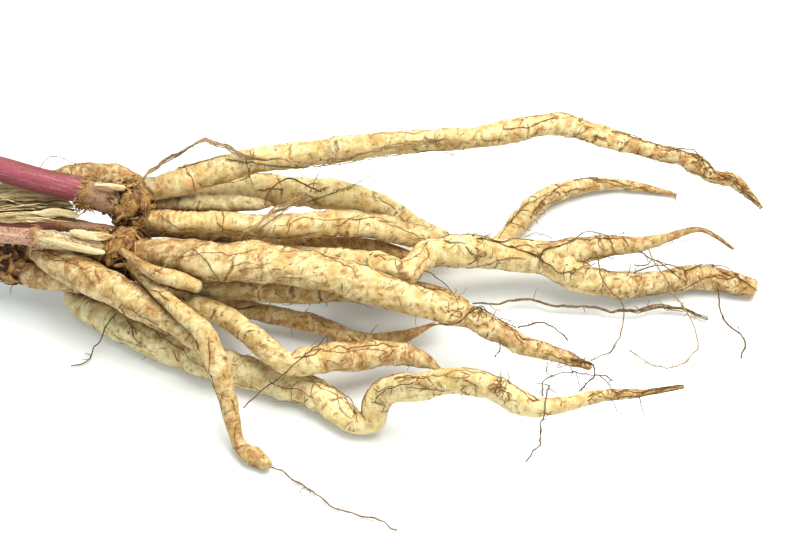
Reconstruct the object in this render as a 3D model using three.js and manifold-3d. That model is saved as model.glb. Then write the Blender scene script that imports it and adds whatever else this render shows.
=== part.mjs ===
import * as THREE from 'three';
import { mergeVertices } from 'three/addons/utils/BufferGeometryUtils.js';
import Module from 'manifold-3d';

// Skirret (Sium sisarum): the root bunch of one plant, lying on its side.
// Millimetres, +Z up. Stems point to -X and the roots' tips to +X.
// A station is [x, y, z, radius]. Routes run from the crown out to the tip.

const GAP = 0.34;          // clearance cut around the crown where another piece meets it
const ROOT_SIDES = 8;
const ROOT_STEP = 5.5;     // ring spacing along a root
const STEM_SIDES = 10;
const STEM_STEP = 5;
const FIBRE_SIDES = 5;
const FIBRE_STEP = 5;
const SKIN_LUMP = 0.07;    // how far a root's radius swells and narrows
const HUSK_THICKNESS = 0.9;

const wasm = await Module();
wasm.setup();

// Fleshy roots, each one organ grown from the crown.
const ROOTS = {
  root_top: [[-102, 19, 40, 3.4], [-96, 20, 42, 3.9], [-87, 21, 44, 4.5], [-70, 24, 48, 4.9],
    [-53, 26.5, 51, 4.9], [-26, 28, 55, 4.8], [0, 29.5, 58, 4.4], [26, 30, 60, 4], [42, 32.5, 61, 4.5],
    [60, 36, 61, 4.1], [75, 31.5, 59, 3.5], [94, 28, 55, 3.1], [108, 27, 51, 3.5], [112, 25.5, 50, 3.4],
    [118, 22, 47.5, 2.2], [126, 21.5, 45, 2.7], [132, 17, 42, 1.5], [136, 13, 40, 0.6]],
  root_back: [[-102, 20, 31, 2.4], [-96, 22, 31.5, 2.8], [-88, 24.5, 31.5, 3.6], [-74, 28, 31, 5],
    [-58, 31, 30, 5.8], [-39, 31, 28, 5.8], [-19, 30, 26, 5.4], [-6, 28, 21, 5], [8, 24, 14, 4.4],
    [23, 21, 7, 3.7], [34, 22, 4.6, 3.4], [41.5, 28.5, 4.2, 3.7], [47.5, 37.5, 4.2, 3.9],
    [55, 46.5, 4.2, 3.8], [64, 53, 4, 3.3], [79, 57.5, 3.4, 2.9], [94, 57.5, 2.6, 1.9],
    [111, 54, 1.2, 0.7]],
  root_third: [[-102, 12, 33, 3.4], [-95, 12, 34, 3.9], [-83, 10, 35, 4.3], [-64, 9, 35, 4.5],
    [-43, 8.7, 34, 5], [-23, 13, 31, 5.1], [-6, 14.5, 26, 4.9], [8, 15, 20, 4.4], [16, 15, 15, 3.1],
    [20, 16, 12, 1.4]],
  root_centre: [[-104, 0, 29, 4], [-99, -1, 31, 4.6], [-88, -5, 34, 5.8], [-69, -11, 36, 7.3],
    [-52, -11, 36, 7], [-33, -14, 35, 6.6], [-19, -16, 33, 6.3], [-2, -21.3, 30, 5.7], [15, -26, 27, 5.1],
    [30, -30, 24, 4.3], [44, -37, 21, 3.5], [59, -41, 18, 2.7], [70, -44.5, 16, 1.1]],
  root_under: [[-101, 0, 21, 2.4], [-95, -3.5, 20, 3.2], [-75, -10, 21, 4.1], [-56, -11, 21, 4.9],
    [-38, -11, 20, 4.7], [-19, -10.5, 19, 4.2], [-2, -13, 17, 3.5], [14, -14.5, 15, 2.5],
    [24, -16, 13.5, 1]],
  root_dark: [[-101, 1, 14.5, 1.8], [-94, -1, 13, 2], [-80, -4.5, 11, 2.3], [-67, -9, 10, 3],
    [-51, -13.7, 9, 3.5], [-30, -19, 8, 3.5], [-17, -24.5, 7, 3.1], [0, -23.5, 7, 2.4],
    [13, -18.5, 9, 0.7]],
  root_pointed: [[-101, -6, 25, 1.8], [-92, -13, 22.5, 2.4], [-80, -18.8, 21, 4], [-69, -21.8, 20.5, 4.2],
    [-58, -30, 20.5, 4.2], [-49, -40, 21, 4.2], [-41, -46.5, 21, 4.4], [-28, -41.5, 17.5, 5],
    [-15, -39, 15.5, 5], [0, -36.5, 13.5, 4], [9, -38, 11.5, 2.8], [15, -41, 10, 0.7]],
  root_kinked: [[-108, 10, 12, 3], [-117, 7, 9, 3.8], [-124, 1, 6.5, 4.8], [-122, -6, 6.4, 5.6],
    [-113, -12.5, 6.6, 6.2], [-98, -21.5, 7, 6.8], [-79, -31.5, 6.9, 6.7], [-63, -37.5, 6.6, 6.3],
    [-44, -44.5, 6.4, 6.1], [-33, -48.5, 6, 5.7], [-24, -55.5, 5.6, 5.2], [-16, -61.5, 4.8, 4.6],
    [-10.5, -62, 6.8, 4.4], [-8.5, -58.5, 13, 4.5], [-4, -57.5, 19, 4.7], [6, -61.3, 26, 4.8],
    [20, -63.5, 33, 4.6], [32, -67.5, 34.5, 4.5], [41, -73, 34, 4.2], [48, -75.5, 33, 3.5],
    [59, -73, 31.5, 2.7], [71, -68.3, 30, 2.1], [86, -65.5, 28, 1.4], [102, -61, 26, 0.6]],
  root_drooping: [[-103, -5, 30, 1.8], [-98, -12, 32.5, 1.9], [-89, -22, 32, 2.6], [-81, -30, 31, 3],
    [-72, -38, 29, 3.7], [-68, -46.5, 27, 4], [-65.5, -53, 22, 3.9], [-62.5, -59.5, 14, 3.2],
    [-60.5, -66.5, 8, 2.7], [-58.5, -71.5, 4.5, 2.4], [-56, -74, 3.2, 3], [-52.5, -76.2, 3.3, 3.3],
    [-48.5, -79, 3.2, 2.7]],
  root_left_upper: [[-142, 6, 22, 2.6], [-137, 3, 25, 3.6], [-130, -4, 27.5, 5.2], [-119, -10, 28.5, 6.3],
    [-108, -16.5, 28, 5.9], [-95, -23, 25.5, 5.6], [-83, -30, 23, 4.1], [-76, -36, 21, 3],
    [-71, -42, 19, 1.8], [-69, -46, 18, 0.8]],
  root_left_lower: [[-147, 6, 18, 2.8], [-141, 0.3, 16.2, 4.7], [-129, -2.7, 16.9, 4.9],
    [-117, -5.5, 17, 4.5], [-105, -12.5, 17, 3.3], [-94, -23, 16.8, 2.3], [-87, -28.5, 16.5, 1.1]],
  root_short: [[-104, -5, 35.5, 1.5], [-101, -9, 38, 1.5], [-96, -14, 38.7, 1.8], [-90, -18, 38, 2.9],
    [-82, -19, 35.5, 3.3], [-75, -20, 33, 2.6]],
  root_pale: [[-102, 17.3, 34.2, 1.8], [-92, 18.3, 35.3, 2.3], [-80, 18.5, 36, 3], [-70, 18, 36.5, 3.2],
    [-61, 17.5, 37, 2.9], [-54, 17, 37, 2.2], [-49.5, 17, 36.8, 1.1]],
  root_slim: [[-101, 15.5, 21, 1.6], [-92, 18, 19.5, 1.8], [-77, 17, 18.2, 2], [-60, 15.5, 18, 2.2],
    [-42, 14, 18, 2.4], [-23, 13.5, 18, 2.6], [-8, 12.5, 17, 2.7], [5, 9, 15, 2], [10, 7.5, 14, 0.8]],
  root_behind: [[-100, 22, 35, 2.6], [-100, 27.5, 35.5, 3.9], [-106, 32, 33.5, 5], [-119, 36, 31, 5.4],
    [-131, 35, 30, 5], [-141, 33, 28, 3.9], [-146, 32, 27, 2.2]],
  root_trailing: [[-100, 6, 15, 1.6], [-88, 4.5, 12.5, 1.8], [-65, 3, 12, 2.2], [-38, 2, 12, 2.5],
    [-19, 1, 12, 3.1], [-2, -2, 12, 3.4], [11, -5, 11, 3.1], [20, -6, 9.2, 2], [26, -7, 7.5, 0.7]],
};

// The forked root: a long limb with a blunt end, and a thinner prong that leaves it.
const FORKED_MAIN = [[-101, 12, 18, 2.2], [-96, 13, 17, 2.4], [-61, 9, 19, 3.1], [-34, 3, 22, 3.8],
  [-15, -2, 25, 4.5], [-4, -8, 28, 4.9], [1, -11, 29, 4.9], [6, -5, 28, 4.9], [12, 2, 26, 5.4],
  [23, 5.7, 23, 6], [38, 7.5, 19, 5.9], [54, 8, 16, 5.6], [66, 2.2, 12.5, 5.2], [79, 0.6, 9.5, 5.1],
  [96, 2.6, 7, 4.9], [116, 7.5, 5.6, 4.7], [127, 5.8, 4.6, 4.3], [134, 3.6, 4.1, 3.9],
  [137, 2.6, 3.9, 3.4]];
const FORKED_PRONG = [[46, 7.5, 17.5, 4], [54, 8, 16.5, 4.6], [67, 10, 18, 4.9], [80, 10.8, 20, 4.3],
  [92, 11, 21, 3], [102, 13.8, 21, 1.9], [115, 18.3, 21, 1], [121, 16, 20, 0.8], [128, 11, 18, 0.6]];

// Leaf stems, cut square at the far end. The short fat stations are their nodes.
const STEMS = {
  stem_large: [[-105, 15.5, 38, 4.6], [-110, 17, 39.5, 5.2], [-115.5, 18.3, 41, 5.7], [-118.5, 19, 42, 6.3],
    [-121, 19.5, 42.6, 5.2], [-136, 22, 45, 4.7], [-151, 25, 48, 4.7], [-172, 30, 51, 4.7]],
  stem_brown: [[-104, 8, 30, 2.4], [-112, 9, 30.4, 2.7], [-127, 12.5, 31, 2.7], [-129, 13, 31.1, 3.3],
    [-131, 12.9, 31.2, 2.7], [-144, 12, 32, 2.7], [-170, 9, 34, 2.6]],
  stem_pale: [[-108, -1, 32, 2.6], [-113, -2.2, 34, 2.6], [-119, -2.2, 35.5, 2.8], [-124, -2, 36.8, 3.1],
    [-129, -1.5, 37.5, 3.5], [-134, -0.6, 37.6, 3.6], [-136.5, -0.3, 37.7, 4.3], [-139, 0, 37.8, 3.2],
    [-150, 1, 38, 3], [-170, 2, 41, 3]],
};

// Round remains of leaf sheaths.
const TONGUES = {
  sheath_rolled: [[-133.5, -4.4, 42.8, 1.3], [-128, -5.8, 42.1, 2], [-120, -6.8, 39.6, 2.1],
    [-113, -7, 37.6, 2], [-110.5, -7, 37.1, 1.2]],
  petiole_stub: [[-114, 16.1, 49.2, 1.1], [-109, 16.2, 48.2, 1.4], [-104, 16.4, 46.8, 1.3]],
};

// Flat remains of leaf sheaths. The fourth number is the half-width, the fifth how far the strip is cupped.
const STRIPS = {
  husk_upper: [[-168, 17, 37, 2, 0.2], [-152, 18.5, 38, 2.4, 0.3], [-140, 20.2, 38, 2.6, 0.3],
    [-130, 18.5, 37.5, 2.3, 0.2], [-124, 15.5, 37, 1.4, 0]],
  husk_inner: [[-168, 17, 34.6, 1.8, 0.3], [-154, 17.5, 34.4, 2, 0.4], [-142, 18, 34.3, 1.7, 0.3],
    [-134, 18, 34.3, 0.8, 0]],
  husk_rear: [[-170, 25, 37, 2.4, 0.2], [-152, 25, 36, 2.6, 0.3], [-143, 24, 35.5, 1.8, 0.2],
    [-138, 23, 35.3, 1, 0]],
  husk_lower: [[-168, 9, 38.5, 1.6, 0.3], [-152, 9.8, 37.5, 1.8, 0.3], [-140, 11, 36.5, 1.9, 0.2],
    [-130, 13, 37, 1.6, 0.2], [-121, 11.5, 36.5, 1.1, 0]],
  sheath_flat: [[-123, -1, 42, 1.1, 0.1], [-117, -1.5, 40.6, 1.7, 0.3], [-111, -1.5, 39.8, 1.4, -0.2],
    [-107, -1.2, 39.6, 0.8, 0]],
};
const STRIP_ACROSS = new THREE.Vector3(0, 0.77, 0.64);

// Thin branching rootlets that stand clear of the fleshy roots.
const FIBRES = {
  fibre_over_top: [[-99, 17.5, 47.5, 0.8], [-90, 23, 53.5, 0.8], [-80, 25, 58.5, 0.8], [-73, 28, 61, 0.8],
    [-66, 27, 59, 0.7], [-58, 23.5, 57, 0.7], [-45, 21, 57.5, 0.6], [-34, 20, 57, 0.6],
    [-19, 21, 58.8, 0.6], [-7, 23.5, 61.5, 0.6], [7, 24.5, 63, 0.5], [17, 24.5, 64, 0.5],
    [26, 24, 63.5, 0.4]],
  fibre_loop: [[-51, 13.5, 40.5, 0.5], [-49, 18, 45, 0.5], [-42, 22, 46.5, 0.5], [-35, 21.5, 42, 0.5],
    [-30, 23, 37.5, 0.4]],
  fibre_thick: [[-58, -3, 44, 0.8], [-50, 4, 44, 0.9], [-43, 10, 43.5, 0.9], [-35, 18.5, 40.5, 0.7]],
  fibre_ground: [[27.8, -7, 6.8, 0.7], [35, -5, 5, 0.7], [46, -3, 4, 0.7], [62, -5, 3.4, 0.7],
    [77, -7, 3.6, 0.7], [92, -8, 3.4, 0.7], [104, -5, 2.6, 0.6], [118, -10, 1.6, 0.4]],
  fibre_hook_near: [[74, 4.5, 24.5, 0.4], [76, -2, 20, 0.4], [80, -6, 14, 0.4], [85, -11, 7, 0.4],
    [83, -19, 2, 0.4], [79, -25, 1.2, 0.4], [72, -30, 1, 0.4]],
  fibre_hook_far: [[94, 6, 25, 0.4], [97, 1, 21, 0.4], [106, -9, 12, 0.4], [113, -20, 5.5, 0.4],
    [112, -26, 2.5, 0.4], [107, -31, 1.3, 0.4], [99, -34, 1, 0.4], [92, -30, 1, 0.4], [87, -25, 1, 0.4]],
  fibre_right: [[122, 1, 7.2, 0.5], [124, -12, 3, 0.5], [130, -18, 1.6, 0.5], [131, -23, 1.1, 0.5],
    [129, -29, 1, 0.4]],
  fibre_left: [[-107, -18, 14.8, 0.4], [-110, -22.5, 11, 0.4], [-113, -24.5, 6, 0.4], [-116, -25, 2.5, 0.4],
    [-118, -30, 1.2, 0.4], [-124, -32.5, 1, 0.4]],
  fibre_droop_tip: [[-44.5, -81.5, 2.4, 0.5], [-40, -83.5, 1.7, 0.5], [-32, -89, 1.2, 0.5],
    [-22, -97, 1, 0.5], [-9, -101, 1, 0.5], [-1, -106, 0.9, 0.4]],
  fibre_under: [[-27, -36, 23.8, 0.4], [-40, -52, 25.2, 0.4], [-50, -56, 17, 0.4], [-57.2, -59.5, 11, 0.4]],
  fibre_hanging: [[53, -68, 36, 0.4], [52, -74, 38.5, 0.4], [50.5, -79.5, 36, 0.4], [50, -81, 27, 0.4],
    [49, -79, 13, 0.4], [46, -77, 2, 0.4]],
};

// Crown heads as [centre, radii], and the rhizome that joins the left one.
const CROWN_HEADS = [
  [[-101.5, 17.5, 35.5], [7.5, 10.5, 11.5]],
  [[-105, 1, 27], [10, 10, 11]],
  [[-104, 10, 17], [9, 12, 9]],
  [[-113, 1, 29], [8, 7, 7]],
  [[-148, 6, 18], [8.5, 8, 9.5]],
];
const CROWN_BRIDGE = [[-108, 3, 23, 4.4], [-125, 8, 20, 4.4], [-138, 8, 18.5, 4.6], [-147, 6, 17, 4.6]];

const COLOURS = {
  root: 0xe6d3a2,
  root_dark: 0xb59a66,
  crown: 0x6b4a2b,
  stem_large: 0xb8436a,
  stem_brown: 0x8a5140,
  stem_pale: 0xe2c3b4,
  husk: 0xd9caa0,
  fibre: 0x7a5a38,
};

// Radius at a fraction of the stations, eased between neighbours.
function radiusAt(stations, t) {
  const f = t * (stations.length - 1);
  const i = Math.min(Math.floor(f), stations.length - 2);
  const before = stations[Math.max(i - 1, 0)][3];
  const after = stations[Math.min(i + 2, stations.length - 1)][3];
  const a = stations[i][3];
  const b = stations[i + 1][3];
  const k = f - i;
  const slopeA = (b - before) / 2;
  const slopeB = (after - a) / 2;
  const square = 3 * (b - a) - 2 * slopeA - slopeB;
  const cube = 2 * (a - b) + slopeA + slopeB;
  const smooth = a + k * (slopeA + k * (square + k * cube));
  return Math.max(smooth, Math.min(a, b));
}

// Swelling of a skin at a distance along it and an angle round it.
function lump(amount, seed, along, angle) {
  const rings = 0.5 * Math.sin(0.31 * along + seed) + 0.3 * Math.sin(0.83 * along + 2.3 * seed);
  const pair = 0.6 * Math.cos(2 * angle + 0.03 * along + seed);
  const triple = 0.4 * Math.cos(3 * angle - 0.05 * along + 1.7 * seed);
  return 1 + amount * (rings + pair + triple) * 0.8;
}

function curveThrough(stations) {
  const places = stations.map(([x, y, z]) => new THREE.Vector3(x, y, z));
  return new THREE.CatmullRomCurve3(places, false, 'centripetal');
}

// A lathe-turned limb bent along its route. Both ends close on the axis.
function limb(stations, { sides, step, amount = 0, seed = 0, flatEnd = false }) {
  const route = curveThrough(stations);
  const length = route.getLength();
  const rings = Math.max(4, Math.ceil(length / step));
  const frames = route.computeFrenetFrames(rings);
  const points = [];
  const radii = [];
  for (let k = 0; k <= rings; k += 1) {
    points.push(route.getPointAt(k / rings));
    radii.push(radiusAt(stations, route.getUtoTmapping(k / rings)));
  }
  const profile = [new THREE.Vector2(0, 0)];
  radii.forEach((radius, k) => profile.push(new THREE.Vector2(radius, k + 1)));
  profile.push(new THREE.Vector2(0, rings + 2));
  const geometry = new THREE.LatheGeometry(profile, sides);
  const position = geometry.attributes.position;
  const p = new THREE.Vector3();
  for (let i = 0; i < position.count; i += 1) {
    const row = Math.round(position.getY(i));
    const k = Math.min(Math.max(row - 1, 0), rings);
    const angle = Math.atan2(position.getZ(i), position.getX(i));
    const swell = amount ? lump(amount, seed, k * length / rings, angle) : 1;
    p.copy(points[k]);
    p.addScaledVector(frames.normals[k], position.getX(i) * swell);
    p.addScaledVector(frames.binormals[k], -position.getZ(i) * swell);
    if (row === 0) p.addScaledVector(frames.tangents[0], -0.4 * radii[0]);
    if (row === rings + 2 && !flatEnd) p.addScaledVector(frames.tangents[rings], 0.7 * radii[rings]);
    position.setXYZ(i, p.x, p.y, p.z);
  }
  return welded(geometry);
}

// A thin cupped strip along its route, with a lens-shaped section.
function strip(stations) {
  const route = curveThrough(stations);
  const rings = Math.ceil(route.getLength() / 4);
  const profile = [new THREE.Vector2(0, 0)];
  for (let k = 0; k <= rings; k += 1) profile.push(new THREE.Vector2(1, k + 1));
  profile.push(new THREE.Vector2(0, rings + 2));
  const geometry = new THREE.LatheGeometry(profile, 10);
  const position = geometry.attributes.position;
  const cups = stations.map(([x, y, z, width, cup]) => [x, y, z, cup]);
  for (let i = 0; i < position.count; i += 1) {
    const k = Math.min(Math.max(Math.round(position.getY(i)) - 1, 0), rings);
    const t = route.getUtoTmapping(k / rings);
    const tangent = route.getTangentAt(k / rings);
    const across = STRIP_ACROSS.clone().addScaledVector(tangent, -STRIP_ACROSS.dot(tangent)).normalize();
    const up = new THREE.Vector3().crossVectors(tangent, across);
    const width = radiusAt(stations, t);
    const side = position.getX(i);
    const p = route.getPointAt(k / rings);
    p.addScaledVector(across, side * width);
    p.addScaledVector(up, -position.getZ(i) * HUSK_THICKNESS / 2 - cupAt(cups, t) * width * side * side);
    position.setXYZ(i, p.x, p.y, p.z);
  }
  return welded(geometry);
}

function cupAt(cups, t) {
  const f = t * (cups.length - 1);
  const i = Math.min(Math.floor(f), cups.length - 2);
  return THREE.MathUtils.lerp(cups[i][3], cups[i + 1][3], f - i);
}

// A lumpy ellipsoid, grown outwards by a clearance.
function head([centre, radii], clearance) {
  const geometry = new THREE.SphereGeometry(1, 14, 10);
  const position = geometry.attributes.position;
  const d = new THREE.Vector3();
  for (let i = 0; i < position.count; i += 1) {
    d.fromBufferAttribute(position, i).normalize();
    const swell = 1 + 0.06 * Math.sin(5 * d.x + 2 * d.z + centre[1]) * Math.cos(4 * d.y + 3 * d.z);
    position.setXYZ(
      i,
      centre[0] + d.x * (radii[0] * swell + clearance),
      centre[1] + d.y * (radii[1] * swell + clearance),
      centre[2] + d.z * (radii[2] * swell + clearance),
    );
  }
  return welded(geometry);
}

function welded(geometry) {
  geometry.deleteAttribute('normal');
  geometry.deleteAttribute('uv');
  return mergeVertices(geometry, 1e-3);
}

function toSolid(geometry) {
  const solid = new wasm.Mesh({
    numProp: 3,
    vertProperties: new Float32Array(geometry.attributes.position.array),
    triVerts: new Uint32Array(geometry.index.array),
  });
  return new wasm.Manifold(solid);
}

function toGeometry(solid) {
  const mesh = solid.getMesh();
  const geometry = new THREE.BufferGeometry();
  geometry.setAttribute('position', new THREE.BufferAttribute(new Float32Array(mesh.vertProperties), 3));
  geometry.setIndex(new THREE.BufferAttribute(new Uint32Array(mesh.triVerts), 1));
  geometry.computeVertexNormals();
  return geometry;
}

function crown(clearance) {
  const bridge = CROWN_BRIDGE.map(([x, y, z, radius]) => [x, y, z, radius + clearance]);
  let solid = toSolid(limb(bridge, { sides: 10, step: 6 }));
  for (const part of CROWN_HEADS) solid = solid.add(toSolid(head(part, clearance)));
  return solid;
}

const group = new THREE.Group();
group.name = 'skirret_root';
const crownSpace = crown(GAP);

function addPiece(name, solid, colour) {
  const material = new THREE.MeshStandardMaterial({ color: colour, roughness: 0.8, metalness: 0 });
  const mesh = new THREE.Mesh(toGeometry(solid), material);
  mesh.name = name;
  group.add(mesh);
}

addPiece('crown', crown(0), COLOURS.crown);

const rootShape = { sides: ROOT_SIDES, step: ROOT_STEP, amount: SKIN_LUMP };
Object.entries(ROOTS).forEach(([name, stations], n) => {
  const solid = toSolid(limb(stations, { ...rootShape, seed: n + 1 }));
  addPiece(name, solid.subtract(crownSpace), name === 'root_dark' ? COLOURS.root_dark : COLOURS.root);
});

const forkedMain = toSolid(limb(FORKED_MAIN, { ...rootShape, seed: 21 }));
const forkedProng = toSolid(limb(FORKED_PRONG, { ...rootShape, seed: 22 }));
addPiece('root_forked', forkedMain.add(forkedProng).subtract(crownSpace), COLOURS.root);

for (const [name, stations] of Object.entries(STEMS)) {
  const solid = toSolid(limb(stations, { sides: STEM_SIDES, step: STEM_STEP, flatEnd: true }));
  addPiece(name, solid.subtract(crownSpace), COLOURS[name]);
}
for (const [name, stations] of Object.entries(TONGUES)) {
  const solid = toSolid(limb(stations, { sides: 8, step: 3 }));
  addPiece(name, solid.subtract(crownSpace), COLOURS.husk);
}
for (const [name, stations] of Object.entries(STRIPS)) {
  addPiece(name, toSolid(strip(stations)).subtract(crownSpace), COLOURS.husk);
}
for (const [name, stations] of Object.entries(FIBRES)) {
  const solid = toSolid(limb(stations, { sides: FIBRE_SIDES, step: FIBRE_STEP }));
  addPiece(name, solid.subtract(crownSpace), COLOURS.fibre);
}

// The origin is the bottom centre of the bunch's box.
const box = new THREE.Box3().setFromObject(group);
const centre = box.getCenter(new THREE.Vector3());
for (const mesh of group.children) mesh.geometry.translate(-centre.x, -centre.y, -box.min.z);

export default group;
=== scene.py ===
"""A skirret plant's root bunch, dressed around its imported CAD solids.

Every fleshy root, stem, husk and rootlet is swept along the same route as its CAD node, and then wrinkled,
cracked and pitted in mesh code. Routes are in millimetres in the plant's own frame, and the frame's boxes say
where that lies.
"""
import math

import bpy
import numpy as np
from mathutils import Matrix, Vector
from mathutils.bvhtree import BVHTree


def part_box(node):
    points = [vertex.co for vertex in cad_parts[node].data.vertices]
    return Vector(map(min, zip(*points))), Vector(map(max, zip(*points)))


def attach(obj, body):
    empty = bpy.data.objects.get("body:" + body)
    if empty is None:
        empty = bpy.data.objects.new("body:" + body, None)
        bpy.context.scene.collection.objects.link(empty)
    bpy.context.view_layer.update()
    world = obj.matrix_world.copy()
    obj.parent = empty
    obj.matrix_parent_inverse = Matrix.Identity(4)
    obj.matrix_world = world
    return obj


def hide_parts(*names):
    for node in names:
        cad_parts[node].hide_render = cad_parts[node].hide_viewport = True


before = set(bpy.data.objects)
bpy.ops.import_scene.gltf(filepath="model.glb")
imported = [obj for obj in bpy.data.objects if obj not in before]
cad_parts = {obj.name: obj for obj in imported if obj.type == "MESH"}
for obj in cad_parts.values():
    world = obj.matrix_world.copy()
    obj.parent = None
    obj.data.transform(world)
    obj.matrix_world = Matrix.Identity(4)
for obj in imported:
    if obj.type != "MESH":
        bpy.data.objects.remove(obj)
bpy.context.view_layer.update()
MM = 0.001

# ---------------------------------------------------------------- routes, [x, y, z, radius] in mm
ROOTS = {
    "root_top": [[-102, 19, 40, 3.4], [-96, 20, 42, 3.9], [-87, 21, 44, 4.5], [-70, 24, 48, 4.9],
                 [-53, 26.5, 51, 4.9], [-26, 28, 55, 4.8], [0, 29.5, 58, 4.4], [26, 30, 60, 4],
                 [42, 32.5, 61, 4.5], [60, 36, 61, 4.1], [75, 31.5, 59, 3.5], [94, 28, 55, 3.1],
                 [108, 27, 51, 3.5], [112, 25.5, 50, 3.4], [118, 22, 47.5, 2.2], [126, 21.5, 45, 2.7],
                 [132, 17, 42, 1.5], [136, 13, 40, 0.6]],
    "root_back": [[-102, 20, 31, 2.4], [-96, 22, 31.5, 2.8], [-88, 24.5, 31.5, 3.6], [-74, 28, 31, 5],
                  [-58, 31, 30, 5.8], [-39, 31, 28, 5.8], [-19, 30, 26, 5.4], [-6, 28, 21, 5],
                  [8, 24, 14, 4.4], [23, 21, 7, 3.7], [34, 22, 4.6, 3.4], [41.5, 28.5, 4.2, 3.7],
                  [47.5, 37.5, 4.2, 3.9], [55, 46.5, 4.2, 3.8], [64, 53, 4, 3.3], [79, 57.5, 3.4, 2.9],
                  [94, 57.5, 2.6, 1.9], [111, 54, 1.2, 0.7]],
    "root_third": [[-102, 12, 33, 3.4], [-95, 12, 34, 3.9], [-83, 10, 35, 4.3], [-64, 9, 35, 4.5],
                   [-43, 8.7, 34, 5], [-23, 13, 31, 5.1], [-6, 14.5, 26, 4.9], [8, 15, 20, 4.4],
                   [16, 15, 15, 3.1], [20, 16, 12, 1.4]],
    "root_centre": [[-104, 0, 29, 4], [-99, -1, 31, 4.6], [-88, -5, 34, 5.8], [-69, -11, 36, 7.3],
                    [-52, -11, 36, 7], [-33, -14, 35, 6.6], [-19, -16, 33, 6.3], [-2, -21.3, 30, 5.7],
                    [15, -26, 27, 5.1], [30, -30, 24, 4.3], [44, -37, 21, 3.5], [59, -41, 18, 2.7],
                    [70, -44.5, 16, 1.1]],
    "root_under": [[-101, 0, 21, 2.4], [-95, -3.5, 20, 3.2], [-75, -10, 21, 4.1], [-56, -11, 21, 4.9],
                   [-38, -11, 20, 4.7], [-19, -10.5, 19, 4.2], [-2, -13, 17, 3.5], [14, -14.5, 15, 2.5],
                   [24, -16, 13.5, 1]],
    "root_dark": [[-101, 1, 14.5, 1.8], [-94, -1, 13, 2], [-80, -4.5, 11, 2.3], [-67, -9, 10, 3],
                  [-51, -13.7, 9, 3.5], [-30, -19, 8, 3.5], [-17, -24.5, 7, 3.1], [0, -23.5, 7, 2.4],
                  [13, -18.5, 9, 0.7]],
    "root_pointed": [[-101, -6, 25, 1.8], [-92, -13, 22.5, 2.4], [-80, -18.8, 21, 4],
                     [-69, -21.8, 20.5, 4.2], [-58, -30, 20.5, 4.2], [-49, -40, 21, 4.2],
                     [-41, -46.5, 21, 4.4], [-28, -41.5, 17.5, 5], [-15, -39, 15.5, 5],
                     [0, -36.5, 13.5, 4], [9, -38, 11.5, 2.8], [15, -41, 10, 0.7]],
    "root_kinked": [[-108, 10, 12, 3], [-117, 7, 9, 3.8], [-124, 1, 6.5, 4.8], [-122, -6, 6.4, 5.6],
                    [-113, -12.5, 6.6, 6.2], [-98, -21.5, 7, 6.8], [-79, -31.5, 6.9, 6.7],
                    [-63, -37.5, 6.6, 6.3], [-44, -44.5, 6.4, 6.1], [-33, -48.5, 6, 5.7],
                    [-24, -55.5, 5.6, 5.2], [-16, -61.5, 4.8, 4.6], [-10.5, -62, 6.8, 4.4],
                    [-8.5, -58.5, 13, 4.5], [-4, -57.5, 19, 4.7], [6, -61.3, 26, 4.8],
                    [20, -63.5, 33, 4.6], [32, -67.5, 34.5, 4.5], [41, -73, 34, 4.2],
                    [48, -75.5, 33, 3.5], [59, -73, 31.5, 2.7], [71, -68.3, 30, 2.1],
                    [86, -65.5, 28, 1.4], [102, -61, 26, 0.6]],
    "root_drooping": [[-103, -5, 30, 1.8], [-98, -12, 32.5, 1.9], [-89, -22, 32, 2.6], [-81, -30, 31, 3],
                      [-72, -38, 29, 3.7], [-68, -46.5, 27, 4], [-65.5, -53, 22, 3.9],
                      [-62.5, -59.5, 14, 3.2], [-60.5, -66.5, 8, 2.7], [-58.5, -71.5, 4.5, 2.4],
                      [-56, -74, 3.2, 3], [-52.5, -76.2, 3.3, 3.3], [-48.5, -79, 3.2, 2.7]],
    "root_left_upper": [[-142, 6, 22, 2.6], [-137, 3, 25, 3.6], [-130, -4, 27.5, 5.2], [-119, -10, 28.5, 6.3],
                        [-108, -16.5, 28, 5.9], [-95, -23, 25.5, 5.6], [-83, -30, 23, 4.1], [-76, -36, 21, 3],
                        [-71, -42, 19, 1.8], [-69, -46, 18, 0.8]],
    "root_left_lower": [[-147, 6, 18, 2.8], [-141, 0.3, 16.2, 4.7], [-129, -2.7, 16.9, 4.9],
                        [-117, -5.5, 17, 4.5], [-105, -12.5, 17, 3.3], [-94, -23, 16.8, 2.3],
                        [-87, -28.5, 16.5, 1.1]],
    "root_short": [[-104, -5, 35.5, 1.5], [-101, -9, 38, 1.5], [-96, -14, 38.7, 1.8], [-90, -18, 38, 2.9],
                   [-82, -19, 35.5, 3.3], [-75, -20, 33, 2.6]],
    "root_pale": [[-102, 17.3, 34.2, 1.8], [-92, 18.3, 35.3, 2.3], [-80, 18.5, 36, 3],
                  [-70, 18, 36.5, 3.2], [-61, 17.5, 37, 2.9], [-54, 17, 37, 2.2], [-49.5, 17, 36.8, 1.1]],
    "root_slim": [[-101, 15.5, 21, 1.6], [-92, 18, 19.5, 1.8], [-77, 17, 18.2, 2], [-60, 15.5, 18, 2.2],
                  [-42, 14, 18, 2.4], [-23, 13.5, 18, 2.6], [-8, 12.5, 17, 2.7], [5, 9, 15, 2],
                  [10, 7.5, 14, 0.8]],
    "root_behind": [[-100, 22, 35, 2.6], [-100, 27.5, 35.5, 3.9], [-106, 32, 33.5, 5],
                    [-119, 36, 31, 5.4], [-131, 35, 30, 5], [-141, 33, 28, 3.9], [-146, 32, 27, 2.2]],
    "root_trailing": [[-100, 6, 15, 1.6], [-88, 4.5, 12.5, 1.8], [-65, 3, 12, 2.2], [-38, 2, 12, 2.5],
                      [-19, 1, 12, 3.1], [-2, -2, 12, 3.4], [11, -5, 11, 3.1], [20, -6, 9.2, 2],
                      [26, -7, 7.5, 0.7]],
}
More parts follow.
